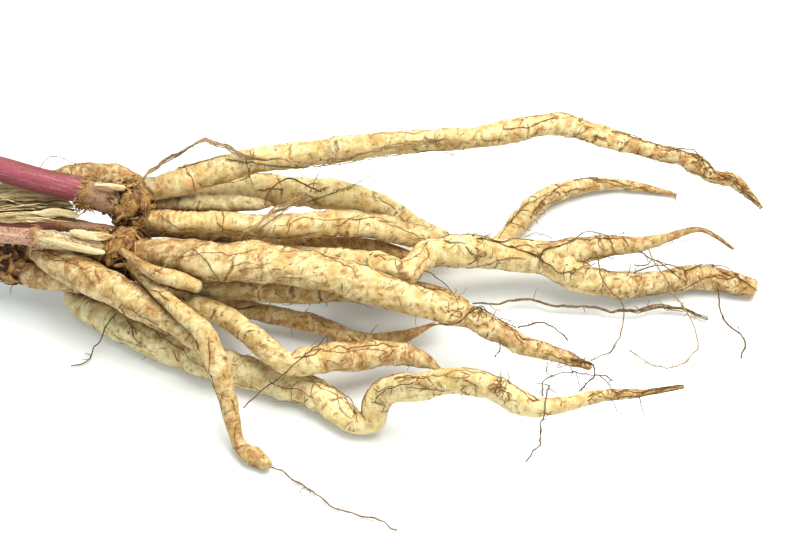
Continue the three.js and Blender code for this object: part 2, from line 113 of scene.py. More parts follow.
FORKED_MAIN = [[-101, 12, 18, 2.2], [-96, 13, 17, 2.4], [-61, 9, 19, 3.1], [-34, 3, 22, 3.8],
               [-15, -2, 25, 4.5], [-4, -8, 28, 4.9], [1, -11, 29, 4.9], [6, -5, 28, 4.9],
               [12, 2, 26, 5.4], [23, 5.7, 23, 6], [38, 7.5, 19, 5.9], [54, 8, 16, 5.6],
               [66, 2.2, 12.5, 5.2], [79, 0.6, 9.5, 5.1], [96, 2.6, 7, 4.9], [116, 7.5, 5.6, 4.7],
               [127, 5.8, 4.6, 4.3], [134, 3.6, 4.1, 3.9], [137, 2.6, 3.9, 3.4]]
FORKED_PRONG = [[46, 7.5, 17.5, 4], [54, 8, 16.5, 4.6], [67, 10, 18, 4.9], [80, 10.8, 20, 4.3],
                [92, 11, 21, 3], [102, 13.8, 21, 1.9], [115, 18.3, 21, 1], [121, 16, 20, 0.8],
                [128, 11, 18, 0.6]]
STEMS = {
    "stem_large": [[-105, 15.5, 38, 4.6], [-110, 17, 39.5, 5.2], [-115.5, 18.3, 41, 5.7],
                   [-118.5, 19, 42, 6.3], [-121, 19.5, 42.6, 5.2], [-136, 22, 45, 4.7],
                   [-151, 25, 48, 4.7], [-172, 30, 51, 4.7]],
    "stem_brown": [[-104, 8, 30, 2.4], [-112, 9, 30.4, 2.7], [-127, 12.5, 31, 2.7], [-129, 13, 31.1, 3.3],
                   [-131, 12.9, 31.2, 2.7], [-144, 12, 32, 2.7], [-170, 9, 34, 2.6]],
    "stem_pale": [[-108, -1, 32, 2.6], [-113, -2.2, 34, 2.6], [-119, -2.2, 35.5, 2.8], [-124, -2, 36.8, 3.1],
                  [-129, -1.5, 37.5, 3.5], [-134, -0.6, 37.6, 3.6], [-136.5, -0.3, 37.7, 4.3],
                  [-139, 0, 37.8, 3.2], [-150, 1, 38, 3], [-170, 2, 41, 3]],
}
TONGUES = {
    "sheath_rolled": [[-133.5, -4.4, 42.8, 1.3], [-128, -5.8, 42.1, 2], [-120, -6.8, 39.6, 2.1],
                      [-113, -7, 37.6, 2], [-110.5, -7, 37.1, 1.2]],
    "petiole_stub": [[-114, 16.1, 49.2, 1.1], [-109, 16.2, 48.2, 1.4], [-104, 16.4, 46.8, 1.3]],
}
STRIPS = {
    "husk_upper": [[-168, 17, 37, 2, 0.2], [-152, 18.5, 38, 2.4, 0.3], [-140, 20.2, 38, 2.6, 0.3],
                   [-130, 18.5, 37.5, 2.3, 0.2], [-124, 15.5, 37, 1.4, 0]],
    "husk_inner": [[-168, 17, 34.6, 1.8, 0.3], [-154, 17.5, 34.4, 2, 0.4], [-142, 18, 34.3, 1.7, 0.3],
                   [-134, 18, 34.3, 0.8, 0]],
    "husk_rear": [[-170, 25, 37, 2.4, 0.2], [-152, 25, 36, 2.6, 0.3], [-143, 24, 35.5, 1.8, 0.2],
                  [-138, 23, 35.3, 1, 0]],
    "husk_lower": [[-168, 9, 38.5, 1.6, 0.3], [-152, 9.8, 37.5, 1.8, 0.3], [-140, 11, 36.5, 1.9, 0.2],
                   [-130, 13, 37, 1.6, 0.2], [-121, 11.5, 36.5, 1.1, 0]],
    "sheath_flat": [[-123, -1, 42, 1.1, 0.1], [-117, -1.5, 40.6, 1.7, 0.3], [-111, -1.5, 39.8, 1.4, -0.2],
                    [-107, -1.2, 39.6, 0.8, 0]],
}
FIBRES = {
    "fibre_over_top": [[-99, 17.5, 47.5, 0.8], [-90, 23, 53.5, 0.8], [-80, 25, 58.5, 0.8], [-73, 28, 61, 0.8],
                       [-66, 27, 59, 0.7], [-58, 23.5, 57, 0.7], [-45, 21, 57.5, 0.6], [-34, 20, 57, 0.6],
                       [-19, 21, 58.8, 0.6], [-7, 23.5, 61.5, 0.6], [7, 24.5, 63, 0.5], [17, 24.5, 64, 0.5],
                       [26, 24, 63.5, 0.4]],
    "fibre_loop": [[-51, 13.5, 40.5, 0.5], [-49, 18, 45, 0.5], [-42, 22, 46.5, 0.5], [-35, 21.5, 42, 0.5],
                   [-30, 23, 37.5, 0.4]],
    "fibre_thick": [[-58, -3, 44, 0.8], [-50, 4, 44, 0.9], [-43, 10, 43.5, 0.9], [-35, 18.5, 40.5, 0.7]],
    "fibre_ground": [[27.8, -7, 6.8, 0.7], [35, -5, 5, 0.7], [46, -3, 4, 0.7], [62, -5, 3.4, 0.7],
                     [77, -7, 3.6, 0.7], [92, -8, 3.4, 0.7], [104, -5, 2.6, 0.6], [118, -10, 1.6, 0.4]],
    "fibre_hook_near": [[74, 4.5, 24.5, 0.4], [76, -2, 20, 0.4], [80, -6, 14, 0.4], [85, -11, 7, 0.4],
                        [83, -19, 2, 0.4], [79, -25, 1.2, 0.4], [72, -30, 1, 0.4]],
    "fibre_hook_far": [[94, 6, 25, 0.4], [97, 1, 21, 0.4], [106, -9, 12, 0.4], [113, -20, 5.5, 0.4],
                       [112, -26, 2.5, 0.4], [107, -31, 1.3, 0.4], [99, -34, 1, 0.4], [92, -30, 1, 0.4],
                       [87, -25, 1, 0.4]],
    "fibre_right": [[122, 1, 7.2, 0.5], [124, -12, 3, 0.5], [130, -18, 1.6, 0.5], [131, -23, 1.1, 0.5],
                    [129, -29, 1, 0.4]],
    "fibre_left": [[-107, -18, 14.8, 0.4], [-110, -22.5, 11, 0.4], [-113, -24.5, 6, 0.4],
                   [-116, -25, 2.5, 0.4], [-118, -30, 1.2, 0.4], [-124, -32.5, 1, 0.4]],
    "fibre_droop_tip": [[-44.5, -81.5, 2.4, 0.5], [-40, -83.5, 1.7, 0.5], [-32, -89, 1.2, 0.5],
                        [-22, -97, 1, 0.5], [-9, -101, 1, 0.5], [-1, -106, 0.9, 0.4]],
    "fibre_under": [[-27, -36, 23.8, 0.4], [-40, -52, 25.2, 0.4], [-50, -56, 17, 0.4],
                    [-57.2, -59.5, 11, 0.4]],
    "fibre_hanging": [[53, -68, 36, 0.4], [52, -74, 38.5, 0.4], [50.5, -79.5, 36, 0.4], [50, -81, 27, 0.4],
                      [49, -79, 13, 0.4], [46, -77, 2, 0.4]],
}
CROWN_HEADS = [
    ([-101.5, 17.5, 35.5], [7.5, 10.5, 11.5]),
    ([-105, 1, 27], [10, 10, 11]),
    ([-104, 10, 17], [9, 12, 9]),
    ([-113, 1, 29], [8, 7, 7]),
    ([-148, 6, 18], [8.5, 8, 9.5]),
]
CROWN_BRIDGE = [[-108, 3, 23, 4.4], [-125, 8, 20, 4.4], [-138, 8, 18.5, 4.6], [-147, 6, 17, 4.6]]

# Per root: how brown, how ringed, how folded lengthwise, how cracked, how green, how many random hairs, and
# how far the folds turn round it, in radians per mm
STYLE_KEYS = ("tone", "rings", "folds", "cracks", "green", "hairs", "twist")
STYLES = {
    "root_top": (0.18, 0.32, 0.40, 1.1, 0, 9, 0.03),
    "root_back": (0.07, 0.30, 0.30, 0.8, 0, 9, 0.02),
    "root_third": (0.14, 0.50, 0.20, 0.7, 0, 6, 0.02),
    "root_centre": (0.27, 0.12, 0.80, 1.0, 0, 8, 0.06),
    "root_under": (0.52, 0.45, 0.30, 0.9, 0, 8, 0.02),
    "root_dark": (0.48, 0.45, 0.45, 1.0, 0, 7, 0.05),
    "root_pointed": (0.30, 0.50, 0.40, 1.2, 0, 6, 0.06),
    "root_kinked": (0.05, 0.30, 0.30, 0.8, 0.6, 9, 0.04),
    "root_drooping": (0.36, 0.35, 0.40, 0.9, 0, 4, 0.03),
    "root_left_upper": (0.42, 0.28, 0.40, 0.7, 0.1, 6, 0.05),
    "root_left_lower": (0.52, 0.28, 0.40, 0.7, 0.25, 3, 0.03),
    "root_short": (0.38, 0.30, 0.60, 0.8, 0, 3, 0.05),
    "root_pale": (0.30, 0.15, 0.30, 0.4, 0.9, 1, 0.03),
    "root_slim": (0.80, 0.40, 0.30, 0.9, 0, 8, 0.04),
    "root_behind": (0.85, 0.45, 0.55, 1.5, 0.6, 3, 0.04),
    "root_trailing": (0.55, 0.40, 0.40, 0.9, 0, 7, 0.04),
    "root_forked": (0.06, 0.38, 0.35, 1.2, 0, 16, 0.03),
    "root_prong": (0.40, 0.40, 0.35, 1.3, 0, 4, 0.03),
}
# What each has unless STYLE_EXTRAS says otherwise: mm between waists, pits per mm, where its close regular
# rings begin and end in mm, and how gnarled the far end is
PLAIN_STYLE = {"spacing": (5, 14), "pits": 0.45, "bands": None, "gnarl": 0.0}
STYLE_EXTRAS = {
    "root_top": {"gnarl": 1.5},
    "root_back": {"gnarl": 0.6},
    "root_third": {"spacing": (8, 20), "bands": (1, 27)},
    "root_centre": {"gnarl": 0.6},
    "root_pointed": {"spacing": (3.5, 8), "pits": 0.6},
    "root_kinked": {"pits": 0.3},
    "root_left_upper": {"pits": 0.8},
    "root_forked": {"gnarl": 0.4},
}
STYLE = {name: {**dict(zip(STYLE_KEYS, values)), **PLAIN_STYLE, **STYLE_EXTRAS.get(name, {})}
         for name, values in STYLES.items()}
# How brown a tip is, and the shares of the length where that starts and is full
TIP_BROWN = {"root_top": (0.65, 0.62, 0.97), "root_back": (0.35, 0.60, 0.95), "root_centre": (0.5, 0.6, 0.95),
             "root_kinked": (1.0, 0.84, 0.97), "root_pointed": (0.5, 0.6, 0.95),
             "root_drooping": (0.3, 0.5, 0.95), "root_forked": (0.6, 0.58, 0.95),
             "root_prong": (0.35, 0.2, 0.85), "root_dark": (0.3, 0.5, 0.95), "root_under": (0.2, 0.5, 0.95)}

# FRONT is the way the bunch's best side faces: up, and toward the front. EYE looks at its middle from there.
ELEVATION = math.radians(50)
DISTANCE = 845.0
MIDDLE = np.array([0, 0, 20.0])
FRONT = np.array([0, -math.cos(ELEVATION), math.sin(ELEVATION)])
EYE = MIDDLE + DISTANCE * FRONT
ACROSS_VIEW = np.array([1.0, 0, 0])
UP_VIEW = np.array([0, math.sin(ELEVATION), math.cos(ELEVATION)])

# Stains: root, kind, place (mm to the right of and above the bunch's middle from EYE), half size and strength
STAINS = [
    ("root_top", "tone", (-66, 31), (10, 1.8), 0.9),
    ("root_top", "tone", (-96, 29), (5, 7), 0.5),
    ("root_top", "blush", (-80, 32), (1.8, 4), 0.9),
    ("root_top", "tone", (-58, 37), (1.6, 5), 0.6),
    ("root_third", "blush", (-67, 17), (1.3, 5), 0.6),
    ("root_third", "tone", (-64, 23), (13, 1.7), 1.0),
    ("root_centre", "tone", (-87, 6), (10, 7), 0.8),
    ("root_centre", "tone", (-73, -6), (17, 3), 0.6),
    ("root_centre", "tone", (-70, 6), (14, 9), 0.16),
    ("root_centre", "tone", (-50, -3), (14, 2.5), 0.45),
    ("root_under", "tone", (-50, -4), (5, 2.5), 0.6),
    ("root_behind", "blush", (-105, 36), (4, 3), 0.3),
    ("root_left_upper", "tone", (-128, -2), (9, 4), 0.45),
    ("root_left_upper", "tone", (-104, -17), (14, 5), 0.30),
    ("root_forked", "tone", (53, 4), (3, 3), 0.5),
    ("root_kinked", "tone", (38, -45), (4, 4), 0.35),
    ("root_kinked", "tone", (22, -42), (6, 2), 0.45),
    ("root_kinked", "tone", (5, -43), (6, 1.5), 0.35),
    ("root_back", "tone", (54, 20), (8, 4), 0.35),
    ("root_top", "tone", (23, 46), (9, 2), 0.7),
]


# ---------------------------------------------------------------- noise
# Random values on a lattice of 64 a side, which repeats, and a turn that keeps its rows off the axes
TABLE = np.random.RandomState(5).rand(64, 64, 64) * 2 - 1
TURN = np.array([[0.80, 0.48, -0.36], [-0.60, 0.64, -0.48], [0.0, 0.60, 0.80]])


def noise(p):
    """Smooth value noise from -1 to 1 at points (..., 3)."""
    p = p @ TURN
    i = np.floor(p).astype(int)
    f = p - i
    f = f * f * (3 - 2 * f)
    i &= 63
    n = (i + 1) & 63
    flat = TABLE.ravel()
    x0, x1, y0, y1 = i[..., 0] << 12, n[..., 0] << 12, i[..., 1] << 6, n[..., 1] << 6
    z0, z1 = i[..., 2], n[..., 2]
    fx, fy, fz = f[..., 0], f[..., 1], f[..., 2]

    def edge(xy):
        a = flat[xy + z0]
        return a + fz * (flat[xy + z1] - a)

    a, b = edge(x0 + y0), edge(x0 + y1)
    c, d = edge(x1 + y0), edge(x1 + y1)
    a = a + fy * (b - a)
    c = c + fy * (d - c)
    return a + fx * (c - a)


def fbm(p, octaves):
    """Noise in octaves, each of half the size and height of the one before."""
    total, size = 0, 1.0
    for k in range(octaves):
        total = total + size * noise(p * 2 ** k + 17.3 * k)
        size *= 0.5
    return total / (2 - 2 ** (1 - octaves))


def smooth(a, b, x):
    """A soft step from 0 at a to 1 at b."""
    t = np.clip((x - a) / (b - a), 0, 1)
    return t * t * (3 - 2 * t)


# ---------------------------------------------------------------- routes to frames
def curve_points(stations, per=24):
    """Centripetal Catmull-Rom through the stations, with so many samples to a stretch: the points, and the
    radii with any other columns."""
    s = np.array(stations, float)
    p = s[:, :3]
    ext = np.vstack([2 * p[0] - p[1], p, 2 * p[-1] - p[-2]])
    points, extra = [], []
    cols = s[:, 3:]
    last = len(p) - 1
    for i in range(last):
        p0, p1, p2, p3 = ext[i], ext[i + 1], ext[i + 2], ext[i + 3]
        d0, d1, d2 = (np.linalg.norm(b - a) ** 0.5 for a, b in ((p0, p1), (p1, p2), (p2, p3)))
        m1 = ((p1 - p0) / d0 - (p2 - p0) / (d0 + d1) + (p2 - p1) / d1) * d1
        m2 = ((p2 - p1) / d1 - (p3 - p1) / (d1 + d2) + (p3 - p2) / d2) * d1
        t = np.arange(per + (i == last - 1)) / per
        t = t[:, None]
        h = p1 + t * m1 + t * t * (3 * (p2 - p1) - 2 * m1 - m2) + t ** 3 * (2 * (p1 - p2) + m1 + m2)
        points.append(h)
        before, after = cols[max(i - 1, 0)], cols[min(i + 2, last)]
        a, b = cols[i], cols[i + 1]
        sa, sb = (b - before) / 2, (after - a) / 2
        r = a + t * sa + t * t * (3 * (b - a) - 2 * sa - sb) + t ** 3 * (2 * (a - b) + sa + sb)
        extra.append(np.maximum(r, np.minimum(a, b)))
    return np.vstack(points), np.vstack(extra)


def length_along(points):
    """The distance along a line of points to each of them."""
    return np.r_[0, np.cumsum(np.linalg.norm(np.diff(points, axis=0), axis=1))]


def unit(v, least=1e-9):
    """A table of vectors, each brought to length 1. Least guards any that have none."""
    return v / np.maximum(np.linalg.norm(v, axis=1, keepdims=True), least)


def sweep_frames(stations, step):
    """Evenly spaced points, extras, tangents, normals and binormals, and the distance along."""
    pts, ext = curve_points(stations)
    along = length_along(pts)
    rings = max(4, int(math.ceil(along[-1] / step)))
    s = np.linspace(0, along[-1], rings + 1)
    centres = np.column_stack([np.interp(s, along, pts[:, i]) for i in range(3)])
    extras = np.column_stack([np.interp(s, along, ext[:, i]) for i in range(ext.shape[1])])
    tangents = unit(np.gradient(centres, axis=0))
    axis = np.eye(3)[np.argmin(np.abs(tangents[0]))]
    v = np.cross(tangents[0], axis)
    v /= np.linalg.norm(v)
    normals = np.empty_like(centres)
    normals[0] = np.cross(tangents[0], v)
    for k in range(1, len(centres)):
        n = normals[k - 1] - tangents[k] * np.dot(normals[k - 1], tangents[k])
        normals[k] = n / np.linalg.norm(n)
    binormals = np.cross(tangents, normals)
    return s, centres, extras, tangents, normals, binormals


def lump(amount, seed, along, angle):
    """A limb's slow swelling in the CAD, as a share of its radius."""
    rings = 0.5 * np.sin(0.31 * along + seed) + 0.3 * np.sin(0.83 * along + 2.3 * seed)
    ridges = 0.6 * np.cos(2 * angle + 0.03 * along + seed)
    ridges = ridges + 0.4 * np.cos(3 * angle - 0.05 * along + 1.7 * seed)
    return 1 + amount * (rings + ridges) * 0.8


# The swelling's amount on a fleshy root
SKIN_LUMP = 0.07
# How far a limb's rounded ends reach past its route, in radii
HEAD_CAP, TAIL_CAP = 0.4, 0.7


# ---------------------------------------------------------------- where the plant's own frame lies in the CAD
def plain_middle(stations):
    """The middle of the box round a rootlet's CAD solid, in plant mm."""
    _, centres, extras, tangents, normals, binormals = sweep_frames(stations, 5)
    a = np.arange(5) * 2 * math.pi / 5
    out = np.cos(a)[:, None] * normals[:, None] + np.sin(a)[:, None] * binormals[:, None]
    ring = centres[:, None] + extras[:, None, :1] * out
    head = centres[0] - HEAD_CAP * extras[0, 0] * tangents[0]
    tail = centres[-1] + TAIL_CAP * extras[-1, 0] * tangents[-1]
    points = np.vstack([ring.reshape(-1, 3), head, tail])
    return (points.min(0) + points.max(0)) / 2


def frame_middle(node):
    """The middle of a node's box in the frame, in mm."""
    low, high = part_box(node)
    return (np.array(low) + np.array(high)) / 2 / MM


# Rootlets well apart, whose boxes tell where the plant's own frame lies
FAR_FIBRES = ("fibre_ground", "fibre_hook_far", "fibre_loop", "fibre_droop_tip", "fibre_hanging")
SHIFT = np.mean([frame_middle(name) - plain_middle(FIBRES[name]) for name in FAR_FIBRES], axis=0)


def place(p):
    """Plant millimetres to the frame's metres."""
    return (np.asarray(p) + SHIFT) * MM


# ---------------------------------------------------------------- meshes
def add_mesh(name, verts, faces, material, slot, attributes, replaces=()):
    """verts in plant mm; faces a list of index arrays, each (n, 3) or (n, 4)."""
    mesh = bpy.data.meshes.new(name)
    verts = place(verts)
    verts[:, 2] = np.maximum(verts[:, 2], 0)
    mesh.vertices.add(len(verts))
    mesh.vertices.foreach_set("co", verts.astype(np.float32).ravel())
    loops = np.concatenate([f.ravel() for f in faces])
    totals = np.concatenate([np.full(len(f), f.shape[1]) for f in faces])
    mesh.loops.add(len(loops))
    mesh.loops.foreach_set("vertex_index", loops.astype(np.int32))
    mesh.polygons.add(len(totals))
    mesh.polygons.foreach_set("loop_start", np.r_[0, np.cumsum(totals)[:-1]].astype(np.int32))
    mesh.polygons.foreach_set("use_smooth", np.full(len(totals), True))
    mesh.update(calc_edges=True)
    for key, values in attributes.items():
        kind, field = ("FLOAT_VECTOR", "vector") if np.ndim(values) == 2 else ("FLOAT", "value")
        layer = mesh.attributes.new(key, kind, "POINT")
        layer.data.foreach_set(field, np.asarray(values, np.float32).ravel())
    mesh.materials.append(material)
    obj = bpy.data.objects.new(name, mesh)
    bpy.context.scene.collection.objects.link(obj)
    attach(obj, "root")
    if replaces:
        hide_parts(*replaces)


def grid_faces(rings, sides, first):
    """Quads of a closed tube grid, and fans to a pole before the first ring and one after the last."""
    here = np.arange(sides)
    beside = (here + 1) % sides
    ring = np.arange(rings - 1)[:, None] * sides
    quads = np.stack([ring + here, ring + beside, ring + sides + beside, ring + sides + here], axis=-1)
    head = rings * sides
    last = head - sides
    head_fan = np.stack([np.full(sides, head), beside, here], axis=-1)
    tail_fan = np.stack([np.full(sides, head + 1), last + here, last + beside], axis=-1)
    return quads.reshape(-1, 4) + first, np.vstack([head_fan, tail_fan]) + first


class Batch:
    """Tubes with closed ends, gathered into one mesh."""

    def __init__(self):
        self.verts, self.faces, self.route, self.count = [], [], [], 0

    def add(self, verts, rings, sides, route=None, flip=False):
        """Takes a tube's points, its poles last, and a row of route for each or else the points again."""
        for faces in grid_faces(rings, sides, self.count):
            self.faces.append(faces[:, ::-1] if flip else faces)
        self.verts.append(verts)
        self.route.append(verts if route is None else route)
        self.count += len(verts)

    def mesh(self, name, material, slot, attributes=None, replaces=()):
        attributes = {"route": np.vstack(self.route), **(attributes or {})}
        add_mesh(name, np.vstack(self.verts), self.faces, material, slot, attributes, replaces)


def grid_route(s, across, up):
    """For each point of a tube grid, the distance along and the two ways across, as if it lay straight."""
    return np.stack(np.broadcast_arrays(s[:, None], across, up), -1)


def with_end_rows(route):
    """A grid's route as rows, and those of its first and last points again for the poles."""
    rows = route.reshape(-1, 3)
    return np.vstack([rows, rows[:1], rows[-1:]])


def with_middles(grid):
    """A grid's points as rows, and the middles of its end rings for the poles."""
    return np.vstack([grid.reshape(-1, 3), grid[0].mean(0), grid[-1].mean(0)])


def cap_rings(centres, tangents, radii, start, end):
    """Rounded ends: ring centres and shares of the radius, before and after the tube."""
    a = np.linspace(0, math.pi / 2, 6)[1:-1]
    head = centres[0] - tangents[0] * radii[0] * start * np.sin(a)[::-1, None]
    tail = centres[-1] + tangents[-1] * radii[-1] * end * np.sin(a)[:, None]
    return head, np.cos(a)[::-1], tail, np.cos(a)


# Two limbs' routes lie this far apart per seed, so that their noise differs
SEED_GAP = 41.7


class Sweep:
    """A limb's fine surface along its route: a grid of points (rings, sides, 3), and the same as if it lay
    straight."""

    def __init__(self, stations, step, sides, seed, amount, end=TAIL_CAP):
        s, centres, extras, tangents, normals, binormals = sweep_frames(stations, step)
        radii = extras[:, 0]
        head, head_scale, tail, tail_scale = cap_rings(centres, tangents, radii, HEAD_CAP, end)
        self.scale = np.r_[head_scale, np.ones(len(centres)), tail_scale]
        self.centre = np.vstack([head, centres, tail])
        pick = np.r_[np.zeros(len(head), int), np.arange(len(centres)), np.full(len(tail), len(centres) - 1)]
        self.tangent, self.radius = tangents[pick], radii[pick]
        normals, binormals = normals[pick], binormals[pick]
        self.curve = np.gradient(tangents, s, axis=0)[pick]
        before, after = np.linalg.norm(head - centres[0], axis=1), np.linalg.norm(tail - centres[-1], axis=1)
        self.distance = np.r_[s[0] - before, s, s[-1] + after]
        self.length = s[-1]
        self.rings, self.sides = len(self.centre), sides
        self.angle = np.arange(sides) * 2 * math.pi / sides
        self.seed = seed
        c, sn = np.cos(self.angle), np.sin(self.angle)
        # the lathe's z runs against the binormal
        self.out = c[None, :, None] * normals[:, None] + sn[None, :, None] * -binormals[:, None]
        self.radial = self.radius[:, None] * lump(amount, seed, self.distance[:, None], self.angle[None, :])
        across, up = self.radius[:, None] * c, self.radius[:, None] * sn
        self.straight = grid_route(self.distance, across, up) + seed * SEED_GAP
        self.share = np.clip(self.distance / self.length, 0, 1)[:, None]

    def finish(self):
        """Makes the grid, with the inner side of tight bends closed in."""
        inward = np.einsum("kc,kjc->kj", self.curve, self.out)
        limit = 0.92 / np.maximum(inward, 1e-6)
        full = self.radial * self.scale[:, None]
        self.pinch = smooth(0.75, 1.25, full / limit)
        r = np.where(inward > 1e-4, limit * np.tanh(full / limit), full)
        r = np.where(inward * self.radial > 0.25, r, full)
        self.grid = self.centre[:, None] + self.out * r[..., None]

    def verts(self):
        """The grid's points and the two poles that close its ends."""
        head = self.grid[0].mean(0) - self.tangent[0] * self.radius[0] * 0.02
        tail = self.grid[-1].mean(0) + self.tangent[-1] * self.radius[-1] * 0.04
        return np.vstack([self.grid.reshape(-1, 3), head, tail])

    def with_poles(self, values):
        """Values on the grid as one row per point, with those of the poles."""
        head, tail = (values[k].reshape(self.sides, -1).mean(0) for k in (0, -1))
        out = np.vstack([values.reshape(self.rings * self.sides, -1), head, tail])
        return out if out.shape[1] > 1 else out[:, 0]

    def at(self, s, angle, lift):
        """Points on the surface at distances and angles, lifted off it, and the way out there."""
        k = np.clip(np.interp(s, self.distance, np.arange(self.rings)), 0, self.rings - 1.001)
        j = (angle / (2 * math.pi) * self.sides) % self.sides
        k0, j0 = k.astype(int), j.astype(int)
        u, v = (k - k0)[:, None], (j - j0)[:, None]
        j0 %= self.sides
        j1 = (j0 + 1) % self.sides
        g = self.grid
        p = (g[k0, j0] * (1 - u) * (1 - v) + g[k0 + 1, j0] * u * (1 - v)
             + g[k0, j1] * (1 - u) * v + g[k0 + 1, j1] * u * v)
        out = self.out[k0, j0]
        return p + out * np.reshape(lift, (-1, 1)), out


def build(name, sweeps, material, slot, keys, replaces):
    """One piece from sweeps, with their values of those names as attributes."""
    batch = Batch()
    for limb in sweeps:
        batch.add(limb.verts(), limb.rings, limb.sides, limb.with_poles(limb.straight))
    values = {key: np.concatenate([limb.with_poles(getattr(limb, key)) for limb in sweeps]) for key in keys}
    batch.mesh(name, material, slot, values, replaces)


# ---------------------------------------------------------------- relief of the skins
def blurred(h, along, around):
    """Box blur of a grid: clamped along the root and wrapped around it."""
    for _ in range(2):
        total = np.zeros_like(h)
        padded = np.pad(h, ((along, along), (0, 0)), "edge")
        for k in range(2 * along + 1):
            total += padded[k:k + len(h)]
        h = total / (2 * along + 1)
        h = sum(np.roll(h, k, 1) for k in range(-around, around + 1)) / (2 * around + 1)
    return h


def add_waists(h, crease, limb, thick, spacing, dice):
    """Waists that part the root into swollen lengths, spacing mm apart. They change h and crease in place."""
    q = limb.straight
    at = 3 + 7 * dice.rand()
    while at < limb.length - 2:
        middle, lean = dice.rand(2) * 2 * math.pi
        depth, width = dice.uniform(0.35, 1.0), dice.uniform(0.32, 0.75)
        line = at + 0.45 * limb.radius[:, None] * np.cos(limb.angle[None] - lean) + 0.9 * noise(q / 3.1 + at)
        line += 0.35 * noise(q / 1.1 + at)
        reach = smooth(-0.5, 0.7, np.cos(limb.angle[None] - middle) + 0.8 * noise(q / 2.4 + 3 * at))
        x = limb.distance[:, None] - line
        notch = np.exp(-(x / width) ** 2) * reach * smooth(-0.9, 0.3, noise(q / 1.7 + 5 * at))
        shoulder = np.exp(-(x / (4.2 * width)) ** 2)
        h += thick * depth * (0.42 * shoulder - 0.62 * notch)
        np.maximum(crease, notch * depth, out=crease)
        at += dice.uniform(*spacing)


def add_rings(h, limb, thick, rings):
    """Fine rings that wander, in patches."""
    q = limb.straight
    warp = 1.3 * noise(q / np.array([7.0, 4, 4]) + 31)
    stretch = np.stack([(q[..., 0] + warp) / 1.25, q[..., 1] / 6.5, q[..., 2] / 6.5], -1)
    patch = smooth(-0.35, 0.35, noise(q / np.array([15.0, 7, 7]) + 57) + 0.9 * (rings - 0.55))
    h += 0.48 * rings * thick * (np.abs(noise(stretch)) - 0.3) * patch


def add_bands(h, crease, limb, thick, first, last, spacing=2.1):
    """Close regular rings from first to last mm along."""
    q, s = limb.straight, limb.distance[:, None]
    reach = smooth(first - 2, first + 2, s) * smooth(last + 3, last - 4, s)
    reach = reach * smooth(-0.7, 0.1, noise(q / 5 + 83))
    band = np.cos(2 * math.pi / spacing * (s + 0.5 * noise(q / 3.5 + 87)))
    h += 0.11 * thick * band * reach
    dark = 0.42 * reach * smooth(-0.5, -1, band) * smooth(-0.6, 0.4, noise(q / 1.6 + 89))
    np.maximum(crease, dark, out=crease)


def add_folds(h, limb, thick, folds, twist):
    """Folds that run along the root and twist round it. Gives the twisted coordinates."""
    q = limb.straight
    turn = twist * limb.distance[:, None]
    c, sn = np.cos(turn), np.sin(turn)
    y, z = q[..., 1] - limb.seed * SEED_GAP, q[..., 2] - limb.seed * SEED_GAP
    along = (q[..., 0] + 2.0 * noise(q / 6 + 13)) / 11.0
    twisted = np.stack([along, (c * y + sn * z) / 1.9, (c * z - sn * y) / 1.9], -1)
    creased = np.abs(noise(twisted + 91))
    broad = np.abs(noise(twisted * np.array([0.6, 0.5, 0.5]) + 151))
    where = smooth(-0.35, 0.4, noise(q / np.array([22.0, 6, 6]) + 21) + 0.9 * (folds - 0.55))
    h += folds * thick * (0.36 * (creased - 0.3) + 0.60 * (broad - 0.3)) * where
    return twisted


def add_pits(h, crease, limb, count, dice):
    """Pits and lips where rootlets left."""
    for _ in range(count):
        s0, a0 = dice.rand() * limb.length, dice.rand() * 2 * math.pi
        size = dice.uniform(0.3, 0.75) * min(1.0, max(0.5, np.interp(s0, limb.distance, limb.radius) / 4))
        k0, k1 = np.searchsorted(limb.distance, [s0 - 4 * size, s0 + 4 * size])
        if k1 <= k0:
            continue
        da = np.angle(np.exp(1j * (limb.angle[None, :] - a0))) * np.maximum(limb.radius[k0:k1, None], 0.5)
        far = np.sqrt(((limb.distance[k0:k1, None] - s0) / 0.65) ** 2 + (da / 1.7) ** 2) / size
        h[k0:k1] += (0.22 * np.exp(-((far - 1.4) / 0.5) ** 2) - 0.34 * np.exp(-far ** 2)) * size * 1.3
        crease[k0:k1] = np.maximum(crease[k0:k1], 0.8 * np.exp(-(far / 0.8) ** 2))


